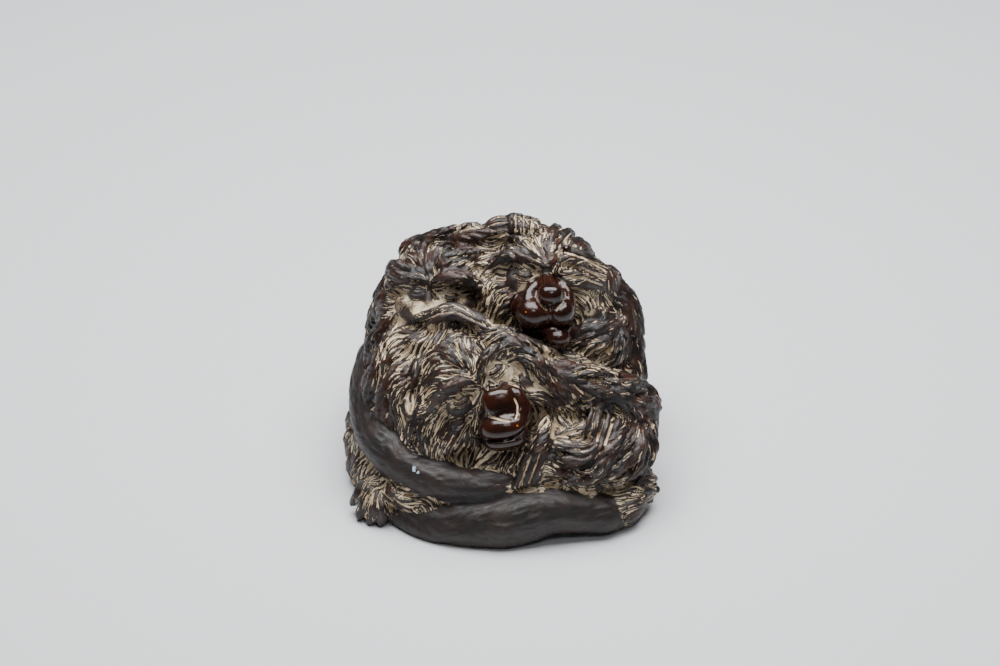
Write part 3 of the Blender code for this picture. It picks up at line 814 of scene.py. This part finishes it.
# %% Drawn lines
MARKS = [
    # line as the viewer sees it, half-width, depth, and the slip that it holds, or below 0 is cleared of
    # front monkey: mouth, nostrils, fold beside the nose, and the parting between its brows
    ([(-10.5, 13.8), (-4, 12.8), (3, 13.4), (8, 15.8), (12.5, 19.3)], 0.9, 2.2, 0),
    ([(-6.8, 25.8), (-5.5, 24.3), (-1, 23), (3.4, 22.3)], 0.75, 1.4, 1),
    ([(5.9, 33.3), (7.3, 30), (7.3, 26), (6.4, 23.5)], 0.7, 1.2, 0.8),
    # painted reflection: the faint slip in the fold beside the nose stands for the light mirrored in that
    # fold
    ([(-11.5, 33), (-11, 28), (-9.5, 23.5)], 1.4, 0.4, 0.3),
    ([(-12.5, 40.5), (-16, 45), (-20, 50.5)], 0.9, 1.2, -0.6),
    # its closed lids
    ([(-24.5, 29.5), (-21, 28.6), (-17.5, 30.8), (-15.8, 33.6)], 0.8, 1.0, 0),
    ([(-7, 43.6), (-2.8, 44.8), (0.2, 48), (0.8, 50)], 0.8, 1.0, 0),
    # right monkey: mouth, cleft of the lip and nostrils
    ([(13.5, 65.8), (19, 68), (25, 69.3), (30, 68.3), (35, 70.5)], 0.9, 2.2, 0),
    ([(24, 79.5), (24.3, 72.5)], 0.8, 1.2, 0),
    # these two hold some slip, and their paler line is also a painted reflection in the glossy folds
    ([(17, 86), (16.8, 83), (18.6, 79.5), (21.6, 77)], 1.2, 1.0, 0.42),
    ([(30.5, 86), (30.6, 83), (29, 79.5), (26.4, 77)], 1.2, 1.0, 0.42),
    # its closed lid
    ([(5.5, 94.3), (8.5, 92.6), (12.5, 92.1), (15.5, 93.3)], 0.8, 1.0, 0),
    # left monkey: lids, and the sides of its nose
    ([(-46.5, 85.6), (-43, 84.6), (-39.3, 85.2)], 0.8, 0.8, 0),
    ([(-29.8, 84.6), (-26, 84.2), (-22, 84.6)], 0.8, 0.8, 0),
    ([(-39.4, 87), (-39.8, 81)], 1.1, 0.7, -0.25),
    ([(-33.4, 87), (-33.2, 82)], 1.1, 0.7, -0.2),
    # along the back of its fist
    ([(-7, 118.6), (-2.5, 120.3), (2.5, 120.6)], 0.6, 0.8, 0.6),
    ([(-6, 121.6), (-2, 123.2), (2, 123.4)], 0.6, 0.8, 0.5),
    # between the fingers on the right monkey's eye
    ([(31, 105.2), (40, 102.6), (51, 96.5)], 0.8, 1.3, 0.8),
    ([(30, 99.3), (40, 97.6), (50.5, 92.8)], 0.8, 1.3, 0.8),
    ([(31.5, 93.4), (40, 92.8), (49.5, 89.3)], 0.8, 1.3, 0.8),
    # between the two fingers on the left monkey's mouth
    ([(-41, 70.8), (-32, 74.6), (-23, 76), (-9, 69.3)], 0.7, 0.8, 0.5),
]
# between the fingers of the hand below the chin, of the hand on the thigh and of the fist, and between toes
MARKS += [
    ([(8.6 + 4.3 * i, -9.6 + 0.8 * i), (14.1 + 4.2 * i, 5.3 + 0.6 * i)], 0.7, 1.4, 0.7) for i in range(2)
]
MARKS += [
    ([(42.5 + 4 * i, 14.5 - 2 * i), (46.2 + 4.4 * i, 26.7 - 1.6 * i)], 0.9, 1.3, 0.9) for i in range(3)
]
MARKS += [
    ([(6.7 + 4 * i, 116 - 0.6 * i), (6.5 + 4 * i, 124.5 - 0.8 * i)], 0.8, 0.9, 0.5) for i in range(3)
]
MARKS += [([(68, -6 - 4.5 * i), (78, -6 - 4.5 * i)], 0.9, 1.4, 0.2) for i in range(3)]
print(len(MARKS), "lines to press in")


# %% Press the lines
def distance_to_line(flat, line):
    """How far each flat point lies from a line of straight pieces."""
    apart = np.full(len(flat), np.inf)
    for a, b in zip(np.array(line[:-1], float), np.array(line[1:], float)):
        share = np.clip((flat - a) @ (b - a) / ((b - a) @ (b - a)), 0, 1)
        apart = np.minimum(apart, np.linalg.norm(flat - a - share[:, None] * (b - a), axis=1))
    return apart


def mark(mesh, marks):
    """Presses each line into what faces the viewer, and tells how much slip it leaves or clears."""
    points, normals = points_of(mesh), normals_of(mesh)
    flat = points @ np.array([ACROSS, UP]).T
    facing = np.clip(3 * normals @ np.array(OUT), 0, 1)
    press, held = np.zeros(len(points)), np.zeros(len(points))
    for line, width, depth, slip in marks:
        low, high = np.min(line, axis=0) - width, np.max(line, axis=0) + width
        near = np.flatnonzero(((flat > low) & (flat < high)).all(1) & (facing > 0))
        share = facing[near] * np.clip(1 - (distance_to_line(flat[near], line) / width) ** 2, 0, 1)
        press[near] = np.maximum(press[near], depth * share)
        change = slip * np.clip(1.6 * share, 0, 1)
        held[near] = np.where(np.abs(change) > np.abs(held[near]), change, held[near])
    put_points(mesh, points - press[:, None] * np.array(OUT))
    return held


marked = mark(fine, MARKS)
soften(fine, SKIN_SMOOTHING)
print("Lines reach", int((marked != 0).sum()), "points")

# %% [markdown]
# ## Fewer triangles
#
# The fine skin has well over a million triangles, far more than its shape needs. The Decimate modifier
# merges those that are nearly flat and keeps the ones on creases and edges. A vertex group tells it how
# readily it may merge. The back gets 1, and the side that the viewer sees gets little, but not 0, which
# would keep every face there.

# %% Thin the mesh
MOST_TRIANGLES = 195000
# a point whose normal reaches less than this towards the viewer belongs to the back
BACK_FROM = -0.1
# how readily faces on the seen side are merged
SEEN_MERGED = 0.01
# how much the group counts beside the shape
GROUP_COUNTS = 0.002


def thin_out(mesh):
    """Keeps the shape with fewer, larger faces, and the largest on what the viewer doesn't see."""
    obj = bpy.data.objects.new("thinned", mesh)
    bpy.context.scene.collection.objects.link(obj)
    mesh.calc_loop_triangles()
    away = normals_of(mesh) @ np.array(OUT) < BACK_FROM
    thinned = obj.vertex_groups.new(name="away")
    thinned.add(np.flatnonzero(away).tolist(), 1.0, "REPLACE")
    thinned.add(np.flatnonzero(~away).tolist(), SEEN_MERGED, "REPLACE")
    decimate = obj.modifiers.new("thin", "DECIMATE")
    decimate.vertex_group = "away"
    decimate.vertex_group_factor = GROUP_COUNTS
    decimate.ratio = min(1.0, MOST_TRIANGLES / len(mesh.loop_triangles))
    decimate.use_collapse_triangulate = True
    return as_mesh(obj)


keep(fine, "marked", marked)
group_mesh = thin_out(fine)
cut_base(group_mesh, 0)
print("Thinned to", len(group_mesh.polygons), "triangles")


# %% [markdown]
# ## Where the slip stays
#
# The cream slip lies in the hollows of the real surface: between locks, in strokes, and in broad pools round
# the eyes and under the chins. Hollows can be measured, by smoothing a copy of the points and seeing how far
# below it each point lies. That alone would whiten every crease alike, so pools and rubbed places are listed,
# and noise makes all of it patchy.

# %% Pools of slip
POOLS = [
    # across, up, half-width, half-height, lean in degrees, strength
    (-46, 80, 9, 5.5, -10, 0.85),
    (-51, 74.5, 6, 5, 0, 0.8),
    (-26, 84, 7, 4, 0, 1.0),
    (-34, 78.5, 10, 4.5, 0, 0.75),
    (-19, 79, 8, 5.5, -25, 0.8),
    (10.5, 91, 6, 5.5, 0, 0.9),
    (35, 97, 6, 12, 0, 0.3),
    (41, 80, 7, 6, -30, 0.8),
    (0, 69, 9, 3.5, -30, 1.0),
    (22, 57, 11, 3, -27, 1.0),
    (42, 51.5, 14, 2.5, -15, 0.9),
    (62, 46, 10, 2.5, -18, 0.8),
    (47, 56, 13, 5, -10, 0.8),
    (-9, 90, 4, 13, 0, 0.9),
    (6, 115, 9, 2.5, 0, 0.45),
    (-21, 30.5, 6, 5, 20, 0.85),
    (0, 46, 11, 5, -10, 0.85),
    (14.5, 40, 3.5, 5, 20, 0.9),
    (22, 21, 8, 6, 0, 0.9),
    (28, 18, 4, 12, 0, 0.8),
    (-9, 7, 4, 5.5, 0, 0.8),
    (-27, 14, 13, 9, -35, 0.5),
    (-46, 30, 2.5, 6, 0, 0.9),
    (-53, 59, 8, 9, 0, 0.5),
    (10, -11, 20, 2.5, 0, 0.8),
    (42, -13, 8, 2.5, -30, 0.8),
    (-65, -15, 6, 5, -40, 0.6),
    (60, -12, 10, 6, -30, 0.5),
    (-74, 12, 4, 8, 0, 0.5),
]
RUBBED_CLEAN = [
    # the same for what stays dark: the right and left sides, and the front monkey's cheek
    (68, 64, 13, 38, 4, 1.0),
    (70, 18, 13, 24, -8, 1.0),
    (-72, 62, 9, 28, -18, 0.7),
    (-20, 15, 12, 5, -20, 0.4),
    # the partings between the brows
    (-36, 99, 6, 9, 0, 0.9),
    (22, 103, 4, 7, 0, 0.9),
    (-12, 44, 3, 6, 20, 0.6),
    # brows
    (-25, 95, 11, 6, -8, 0.7),
    (-48, 95, 8, 6, 15, 0.6),
    (9, 102, 11, 4.5, 0, 0.6),
    (-25, 40, 10, 5, 35, 0.5),
    # the long arm, the thigh and knee below it, the near arm, and the left monkey's crown
    (18, 58, 24, 7, -27, 0.6),
    (52, 38, 18, 6, -15, 0.6),
    (40, 4, 20, 9, 0, 0.6),
    (60, 20, 18, 24, 0, 0.7),
    (-62, 20, 9, 26, 20, 0.6),
    (-30, 100, 20, 18, 0, 0.3),
]


# %% Slip in hollows and pools
def within(patches, points):
    """How strongly each point lies in one of the patches that the viewer sees, from 0 to 1."""
    flat = points @ np.array([ACROSS, UP]).T
    deep = np.zeros(len(points))
    for across, up, wide, high, lean, strength in patches:
        turn = math.radians(lean)
        away = flat - (across, up)
        along = away @ (math.cos(turn), math.sin(turn)) / wide
        aside = away @ (-math.sin(turn), math.cos(turn)) / high
        deep = np.maximum(deep, strength * np.clip(1.6 * (1.35 - np.hypot(along, aside)), 0, 1))
    return deep


def slip_left(mesh, marked):
    """How sheltered each point is, and how much slip it keeps in creases, pools and lines."""
    points, normals = points_of(mesh), normals_of(mesh)
    fur, bare, valley = kept(mesh, "fur"), kept(mesh, "bare"), kept(mesh, "valley")
    small, broad = hollowness(mesh, 1, 0.2), hollowness(mesh, 11, 0.8)
    facing = np.clip(2.5 * normals @ np.array(OUT), 0, 1)
    pool = within(POOLS, points) * facing
    rubbed = within(RUBBED_CLEAN, points) * np.clip(1.5 * normals @ np.array(OUT) + 0.8, 0, 1)
    patchy = np.array([noise.noise(Vector(point) / 11) for point in points])
    smooth_skin = np.clip(1 - 8 * fur, 0, 1)
    behind = np.clip(-1.5 * normals @ np.array(OUT), 0, 1)
    # valleys, hollows, pools and chance shelter slip, and rubbed places and the back lose it
    shelter = 0.32 + 0.35 * valley + 0.3 * broad + 0.6 * pool + 0.6 * patchy - 0.8 * rubbed
    shelter = np.clip(shelter - 0.25 * behind, 0, 1)
    crease = np.clip(1.4 * broad - 0.8, 0, 1) * shelter
    # a pool fills hollows in short fur, and bare skin in patches
    kept_by_pool = 0.7 + 1.1 * broad + 0.7 * patchy - 0.9 * np.clip(-small, 0, 1)
    kept_by_skin = smooth_skin * (0.75 + 0.4 * broad + 0.5 * patchy)
    kept_by_pool = kept_by_pool * np.clip(1.2 - 0.8 * fur, 0, 1)
    pooled = pool * np.clip(np.maximum(kept_by_pool, kept_by_skin), 0, 1)
    slip = np.maximum(crease, pooled)
    # muzzles keep slip only in pressed lines, a few also painted reflections, and some lines are cleared of
    # it
    covered = 1 - np.clip(2.5 * bare - 0.5, 0, 1)
    slip = np.maximum(slip * covered, marked) + 1.4 * np.minimum(marked, 0)
    return shelter * covered, np.clip(slip, 0, 1)


shelter, slip = slip_left(group_mesh, kept(group_mesh, "marked"))
keep(group_mesh, "shelter", shelter)
keep(group_mesh, "slip", slip)
# ridges this high at a small scale are worn through to rust
WORN_SMOOTHING = 3
WORN_HEIGHT = 0.5
keep(group_mesh, "worn", np.clip(-hollowness(group_mesh, WORN_SMOOTHING, WORN_HEIGHT), 0, 1))
print("Slip covers", round(float(slip.mean()), 2), "of the points")

# %% [markdown]
# ## Hair coordinates
#
# Slip lies beside each strand in lines that are thinner than the mesh's faces, so they are drawn by the
# material. It needs to know where it is on a strand. A UV map tells it: U runs along the strand and V
# across it, both in millimetres. Each strand gets a page of the map at random, so that neighbours differ.

# %% Hair coordinates
UV_PAGE = 20
UV_PAGES = 40


def hair_coordinates(mesh, combed_points, owner, paths):
    """A UV map in millimetres, along the strand and away from its middle."""
    tree = KDTree(len(owner))
    for i in np.flatnonzero(owner >= 0):
        tree.insert(combed_points[i], i)
    tree.balance()
    points = points_of(mesh)
    corners = np.empty(len(mesh.loops), np.int32)
    mesh.loops.foreach_get("vertex_index", corners)
    corners = corners.reshape(-1, 3)
    lock = np.array([owner[tree.find(centre)[1]] for centre in points[corners].mean(1)])
    places, ways, asides = paths[lock, :, 0], paths[lock, :, 1], paths[lock, :, 2]
    middle = points[corners].mean(1)
    step = ((middle[:, None] - places) ** 2).sum(2).argmin(1)
    row = np.arange(len(lock))
    away = points[corners] - places[row, step][:, None]
    along = (away * ways[row, step][:, None]).sum(2) + (step * STRAND_LENGTH / STROKE_STEPS)[:, None]
    aside = (away * asides[row, step][:, None]).sum(2)
    page = np.random.default_rng(SEED).integers(0, UV_PAGES, (len(paths), 2))[lock] * UV_PAGE
    uv = np.stack([along + page[:, :1], aside + page[:, 1:]], 2)
    layer = mesh.uv_layers.new(name="hair")
    layer.data.foreach_set("uv", uv.astype(np.float32).ravel())


hair_coordinates(group_mesh, combed_points, owner, strand_paths)
print("Hair coordinates on", len(group_mesh.loops), "corners")


# %% Settle on the ground
def settle(mesh):
    """Puts the origin on the ground in the middle of the group's box, and scales to metres."""
    points = points_of(mesh)
    low, high = points.min(0), points.max(0)
    shift = np.array([(low[0] + high[0]) / 2, (low[1] + high[1]) / 2, low[2]])
    put_points(mesh, (points - shift) * MM)
    return Vector(shift)


shift = settle(group_mesh)
print("Moved by", tuple(round(-part, 2) for part in shift), "mm")

# %% [markdown]
# ## Glaze
#
# One material holds everything that the surface shows, because it is one fired skin: an iron glaze with slip
# in its hollows. Everything is worked out on Object coordinates, the hair's UV map and the attributes above,
# so that the finish stays on the figure wherever it is seen from. A painted texture would need pictures.

# %% Colours and nodes
def hex_colour(code):
    """Linear RGBA of an sRGB hex colour."""
    parts = [int(code[i : i + 2], 16) / 255 for i in (1, 3, 5)]
    return (*[p / 12.92 if p <= 0.04045 else ((p + 0.055) / 1.055) ** 2.4 for p in parts], 1)


class Nodes:
    """Adds nodes to one material. An input is a constant, or the output of another node."""

    def __init__(self, material):
        material.use_nodes = True
        self.tree = material.node_tree
        self.shader = self.tree.nodes["Principled BSDF"]

    def join(self, node, inputs):
        """Sets or links each named input."""
        for name, value in inputs.items():
            socket = node.inputs[name]
            if isinstance(value, bpy.types.NodeSocket):
                self.tree.links.new(value, socket)
            else:
                socket.default_value = value
        return node

    def add(self, kind, inputs=None, **settings):
        """Adds one node with its settings and inputs."""
        node = self.tree.nodes.new("ShaderNode" + kind)
        for name, value in settings.items():
            setattr(node, name, value)
        return self.join(node, inputs or {})

    def value(self, name):
        return self.add("Attribute", attribute_name=name).outputs["Fac"]

    def maths(self, operation, *values):
        return self.add("Math", dict(enumerate(values)), operation=operation).outputs[0]

    def span(self, value, low, high, to_low=0.0, to_high=1.0):
        inputs = {"Value": value, "From Min": low, "From Max": high, "To Min": to_low, "To Max": to_high}
        return self.add("MapRange", inputs, interpolation_type="SMOOTHSTEP").outputs[0]

    def stretch(self, place, scale):
        return self.add("Mapping", {"Vector": place, "Scale": scale}).outputs[0]

    def noise(self, place, scale, detail=3.0, roughness=0.5):
        inputs = {"Vector": place, "Scale": scale, "Detail": detail, "Roughness": roughness}
        return self.add("TexNoise", inputs).outputs["Fac"]

    def blend(self, share, first, second):
        inputs = {0: share, 6: first, 7: second}
        return self.add("Mix", inputs, data_type="RGBA").outputs[2]


# %% Slip between the strands
# how far the lines of slip lie from the middle of a strand, just short of its edge
SIDE_LINE = 0.48 * STRAND_WIDTH


def strand_pattern(nodes, shelter):
    """Thin lines of slip, about 0.8 mm wide, beside each strand and here and there along its middle."""
    hair = nodes.add("UVMap", uv_map="hair").outputs[0]
    across = nodes.add("SeparateXYZ", {0: hair}).outputs["Y"]
    across = nodes.maths("PINGPONG", across, UV_PAGE / 2)
    wobble = nodes.noise(nodes.stretch(hair, (0.3, 0.8, 1)), 1.0, 2, 0.6)
    across = nodes.maths("MULTIPLY_ADD", nodes.maths("SUBTRACT", wobble, 0.5), 1.1, across)
    across = nodes.maths("PINGPONG", across, SIDE_LINE)
    fuller = nodes.maths("MULTIPLY_ADD", shelter, 0.3, across)
    gaps = nodes.noise(nodes.stretch(hair, (0.1, 0.3, 1)), 1.0, 1, 0.5)
    held = nodes.span(nodes.maths("MULTIPLY_ADD", shelter, 0.55, gaps), 0.56, 0.68)
    beside = nodes.span(fuller, 0.84, 1.04)
    middle = nodes.maths("MULTIPLY", nodes.span(across, 0.28, 0.08), nodes.span(gaps, 0.5, 0.56))
    line = nodes.maths("MULTIPLY", nodes.maths("MAXIMUM", beside, middle), held)
    rim = nodes.span(across, 0.35, 0.7)
    hairline = nodes.noise(nodes.stretch(hair, (0.15, 1.7, 1)), 1.0, 2, 0.6)
    return line, rim, hairline


# %% [markdown]
# ## Specks and lids
#
# A few things are in one place only: chips that show the orange clay, a fleck of blue-white glaze on the
# front arm, and the dark lines of the closed eyes. They are too fine for the mesh, so the material draws them
# by the distance from a point. The point is found along the viewer's line of sight.

# %% Specks
SPECKS = [
    # across, up, radius in mm, colour: chips down to the orange body, and a fleck of blue-white glaze
    (8.2, 20.5, 0.45, "#b0642c"),
    (10.8, 76.5, 0.35, "#b0642c"),
    (-52.8, -24.5, 0.5, "#a85c28"),
    (-44.9, -1.2, 0.9, "#a9bccf"),
    (-43.4, -2.4, 0.8, "#a9bccf"),
    (-41.9, -2.8, 0.7, "#a9bccf"),
]


# how far from the line of sight a point may lie
SIGHT_WIDTH = 1.2


def surface_point(mesh, across, up):
    """Where a line of sight meets the front of the group, in metres."""
    points, normals = points_of(mesh), normals_of(mesh)
    away = points / MM + np.array(shift)
    out = away @ np.array(OUT)
    apart = np.hypot(away @ np.array(ACROSS) - across, away @ np.array(UP) - up)
    near = np.flatnonzero((apart < SIGHT_WIDTH) & (normals @ np.array(OUT) > 0.1))
    return tuple(points[near[out[near].argmax()]])


def speckle(nodes, place, grain, colour):
    """The colour with each speck laid on it. Their edges are ragged."""
    for across, up, radius, code in SPECKS:
        centre = surface_point(group_mesh, across, up)
        apart = nodes.add("VectorMath", {0: place, 1: centre}, operation="DISTANCE").outputs["Value"]
        ragged = nodes.maths("SUBTRACT", grain, 0.5)
        apart = nodes.maths("MULTIPLY_ADD", ragged, 2.5 * radius * MM, apart)
        inside = nodes.span(apart, 1.1 * radius * MM, 0.8 * radius * MM)
        colour = nodes.blend(inside, colour, hex_colour(code))
    return colour


# %% Lids
LIDS = [
    # across and up of the middle of a closed lid, radius of its arc, half its length, lean in degrees
    (-20, 29.4, 6.5, 5.4, 25),
    (-1.8, 45.8, 8, 5.4, 39),
    (10.5, 92.2, 8.6, 5.6, -6),
    (-43, 84.5, 7.7, 4.4, 0),
    (-26, 84.2, 7, 4.4, 0),
]
WRINKLE_PITCH = 1.2


def lid_lines(nodes, place):
    """1 on the dark line of each closed lid, and less on the wrinkles that run beside it."""
    lines = 0.0
    for across, up, radius, reach, lean in LIDS:
        middle = Vector(surface_point(group_mesh, across, up))
        centre = middle + tilted(lean)[1] * radius * MM
        arc = nodes.add("VectorMath", {0: place, 1: centre}, operation="DISTANCE").outputs["Value"]
        away = nodes.add("VectorMath", {0: place, 1: middle}, operation="DISTANCE").outputs["Value"]
        off = nodes.maths("MULTIPLY_ADD", arc, 1 / MM, -radius)
        wrinkles = nodes.span(nodes.maths("PINGPONG", off, WRINKLE_PITCH / 2), 0.42, 0.14, 0.0, 0.55)
        line = nodes.maths("MAXIMUM", wrinkles, nodes.span(nodes.maths("ABSOLUTE", off), 0.75, 0.4))
        line = nodes.maths("MULTIPLY", line, nodes.span(away, reach * MM, 0.75 * reach * MM))
        lines = nodes.maths("MAXIMUM", lines, line)
    return lines


# %% Stoneware with slip
# the glaze thick and thinner, its rust on ridges, slip dust and painted sheen on hair, and bare muzzles
GLAZE = "#17110f", "#271c17"
RUST = "#44200f"
SLIP_DUST_AND_SHEEN = "#554b44"
RED_BROWN = "#190c09", "#2f150c"
# slip rubbed to a film, and whole slip from its darker to its lighter patches
FILM = "#4b3425"
CREAM = "#bda381", "#ead9bb"
ROUGH_MUZZLE = 0.15
ROUGH_SLIP = 0.75


def glazed_stoneware():
    """Stoneware, dipped in an iron glaze and fired: the eye sees near black with a soft grey shine on the
    hair, rust on ridges, wet red-brown muzzles, and matte cream slip in the hollows."""
    material = bpy.data.materials.new("iron_brown_glazed_stoneware")
    nodes = Nodes(material)
    place = nodes.add("TexCoord").outputs["Object"]
    slip, bare, worn = nodes.value("slip"), nodes.value("bare"), nodes.value("worn")
    shelter, fur = nodes.value("shelter"), nodes.value("fur")
    clouds = nodes.noise(place, 90, 4, 0.6)
    grain = nodes.noise(place, 1400, 4, 0.6)
    stroke, rim, hairline = strand_pattern(nodes, shelter)
    furry = nodes.span(fur, 0.12, 0.45)
    stroke = nodes.maths("MULTIPLY", stroke, furry)
    slip = nodes.maths("MAXIMUM", slip, stroke)
    lids = nodes.maths("MULTIPLY_ADD", lid_lines(nodes, place), -0.85, 1.0)
    slip = nodes.maths("MULTIPLY", slip, lids)

    # the glaze breaks from near black to rust where it thins over ridges and beside the strokes
    glaze = nodes.blend(nodes.span(clouds, 0.35, 0.65), *map(hex_colour, GLAZE))
    rusty = nodes.maths("MULTIPLY", nodes.span(worn, 0.35, 0.9), nodes.span(clouds, 0.5, 0.62))
    edge = nodes.maths("MULTIPLY", nodes.maths("MULTIPLY", rim, furry), nodes.span(clouds, 0.42, 0.6))
    rusty = nodes.maths("MAXIMUM", rusty, edge)
    glaze = nodes.blend(nodes.maths("MULTIPLY", rusty, 0.7), glaze, hex_colour(RUST))
    # painted sheen: grey-brown streaks on sheltered hair, partly slip dust and partly the glaze's grey shine
    dust_and_sheen = nodes.maths("MULTIPLY", nodes.span(hairline, 0.5, 0.62), nodes.span(shelter, 0.15, 0.7))
    glaze = nodes.blend(nodes.maths("MULTIPLY", dust_and_sheen, furry), glaze, hex_colour(SLIP_DUST_AND_SHEEN))
    red = nodes.blend(nodes.span(clouds, 0.35, 0.65), *map(hex_colour, RED_BROWN))
    glaze = nodes.blend(nodes.span(bare, 0.3, 0.8), glaze, red)

    # slip, rubbed thin at its edges so that brown shows through
    wobble = nodes.maths("MULTIPLY_ADD", nodes.maths("SUBTRACT", grain, 0.5), 0.45, slip)
    wobble = nodes.maths("MULTIPLY_ADD", nodes.span(hairline, 0.52, 0.66), -0.3, wobble)
    film = nodes.span(wobble, 0.18, 0.42)
    body = nodes.span(wobble, 0.34, 0.62)
    cream = nodes.blend(nodes.span(clouds, 0.3, 0.7), *map(hex_colour, CREAM))
    colour = nodes.blend(nodes.maths("MULTIPLY", film, 0.75), glaze, hex_colour(FILM))
    colour = nodes.blend(body, colour, cream)
    colour = speckle(nodes, place, grain, colour)

    # hair is rougher in streaks, rubbed limbs are duller, and muzzles are glossy
    rough_glaze = nodes.span(hairline, 0.35, 0.65, 0.28, 0.5)
    rough_glaze = nodes.maths("MULTIPLY_ADD", nodes.span(fur, 0.45, 0.12), 0.16, rough_glaze)
    muzzle = {0: nodes.span(bare, 0.3, 0.8), 2: rough_glaze, 3: ROUGH_MUZZLE}
    rough_glaze = nodes.add("Mix", muzzle, data_type="FLOAT").outputs[0]
    covered = {0: body, 2: rough_glaze, 3: ROUGH_SLIP}
    rough = nodes.add("Mix", covered, data_type="FLOAT").outputs[0]

    # a fine grain all over, and strokes that stand up on fur
    bumps = nodes.maths("MULTIPLY", nodes.maths("ADD", grain, nodes.noise(place, 500)), 0.5)
    bump = nodes.add("Bump", {"Strength": 0.35, "Distance": 0.0004, "Height": bumps}).outputs[0]
    ridge = nodes.maths("MULTIPLY_ADD", hairline, 0.6, nodes.maths("SUBTRACT", 1.0, stroke))
    ridge = nodes.maths("MULTIPLY", ridge, nodes.span(fur, 0.02, 0.45, 0.12, 1.0))
    ridge = nodes.maths("MULTIPLY", ridge, nodes.span(bare, 0.4, 0.1))
    strokes = {"Strength": 1.0, "Distance": 0.0007, "Height": ridge, "Normal": bump}
    bump = nodes.add("Bump", strokes).outputs[0]
    nodes.join(nodes.shader, {"Base Color": colour, "Roughness": rough, "Normal": bump})
    return material


# %% Dress the group
group = bpy.data.objects.new("huddled_monkeys", group_mesh)
bpy.context.scene.collection.objects.link(group)
group_mesh.materials.clear()
group_mesh.materials.append(glazed_stoneware())
group_mesh.shade_smooth()
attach(group, "root")
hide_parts("monkey_group")
print("The glaze has", len(group_mesh.materials[0].node_tree.nodes), "nodes")

# %% [markdown]
# ## Stage
#
# A plain pale floor, and studio light from a large box overhead, which lays a soft grey shine on the hair. A
# small box in front gives the muzzles their sharp highlights. A long lens from far away shows the figure with
# little perspective, as its measures take it.

# %% Floor
FLOOR_SIZE = 6.0


def stage_floor():
    """A plain floor that is part of the picture and not of the figure."""
    bm = bmesh.new()
    bmesh.ops.create_grid(bm, x_segments=1, y_segments=1, size=FLOOR_SIZE / 2)
    mesh = bpy.data.meshes.new("floor")
    bm.to_mesh(mesh)
    bm.free()
    floor = bpy.data.objects.new("floor", mesh)
    bpy.context.scene.collection.objects.link(floor)
    # matte painted board, which takes a soft shadow and mirrors nothing clearly
    material = bpy.data.materials.new("painted_board")
    nodes = Nodes(material)
    nodes.join(nodes.shader, {"Base Color": hex_colour("#d9dbde"), "Roughness": 0.6})
    mesh.materials.append(material)
    floor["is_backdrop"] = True


stage_floor()
print("The floor is", FLOOR_SIZE, "m wide")

# %% Camera
SIGHT_DISTANCE = 1.875
PICTURE_CENTRE = (-1.25, 65.5, 40)
LENS = 135


def aim(obj, target):
    """Turns a camera or a light to look at a place."""
    way = (target - obj.location).normalized()
    obj.rotation_euler = way.to_track_quat("-Z", "Y").to_euler()


target = (seen(*PICTURE_CENTRE) - shift) * MM
lens = bpy.data.cameras.new("camera")
lens.lens = LENS
lens.sensor_width = 36
camera = bpy.data.objects.new("camera", lens)
bpy.context.scene.collection.objects.link(camera)
camera.location = target + OUT * SIGHT_DISTANCE
aim(camera, target)
bpy.context.scene.camera = camera
print("The camera stands at", tuple(round(part, 3) for part in camera.location))

# %% Light
MIDDLE = Vector((0, 0, 0.06))


def softbox(name, place, size, power):
    """A rectangular light that looks at the middle of the figure."""
    light = bpy.data.lights.new(name, "AREA")
    light.shape = "RECTANGLE"
    light.size, light.size_y = size
    light.energy = power
    obj = bpy.data.objects.new(name, light)
    bpy.context.scene.collection.objects.link(obj)
    obj.location = place
    aim(obj, MIDDLE)


softbox("overhead", (0.0, 0.16, 1.0), (1.1, 0.8), 30)
softbox("front", (0.12, -0.6, 0.95), (0.24, 0.18), 1.3)
world = bpy.data.worlds.new("studio")
world.use_nodes = True
world.node_tree.nodes["Background"].inputs["Color"].default_value = hex_colour("#9ea2a8")
world.node_tree.nodes["Background"].inputs["Strength"].default_value = 0.15
bpy.context.scene.world = world
print("Lights:", [light.name for light in bpy.data.lights])

# %% [markdown]
# ## Sizes
#
# The figure is meant to stand where the solid stands and be as large, so both boxes are printed.

# %% Sizes of both boxes
visual_box = [list(corner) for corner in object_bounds()]
print("The group's box runs from", visual_box[0], "to", visual_box[1])
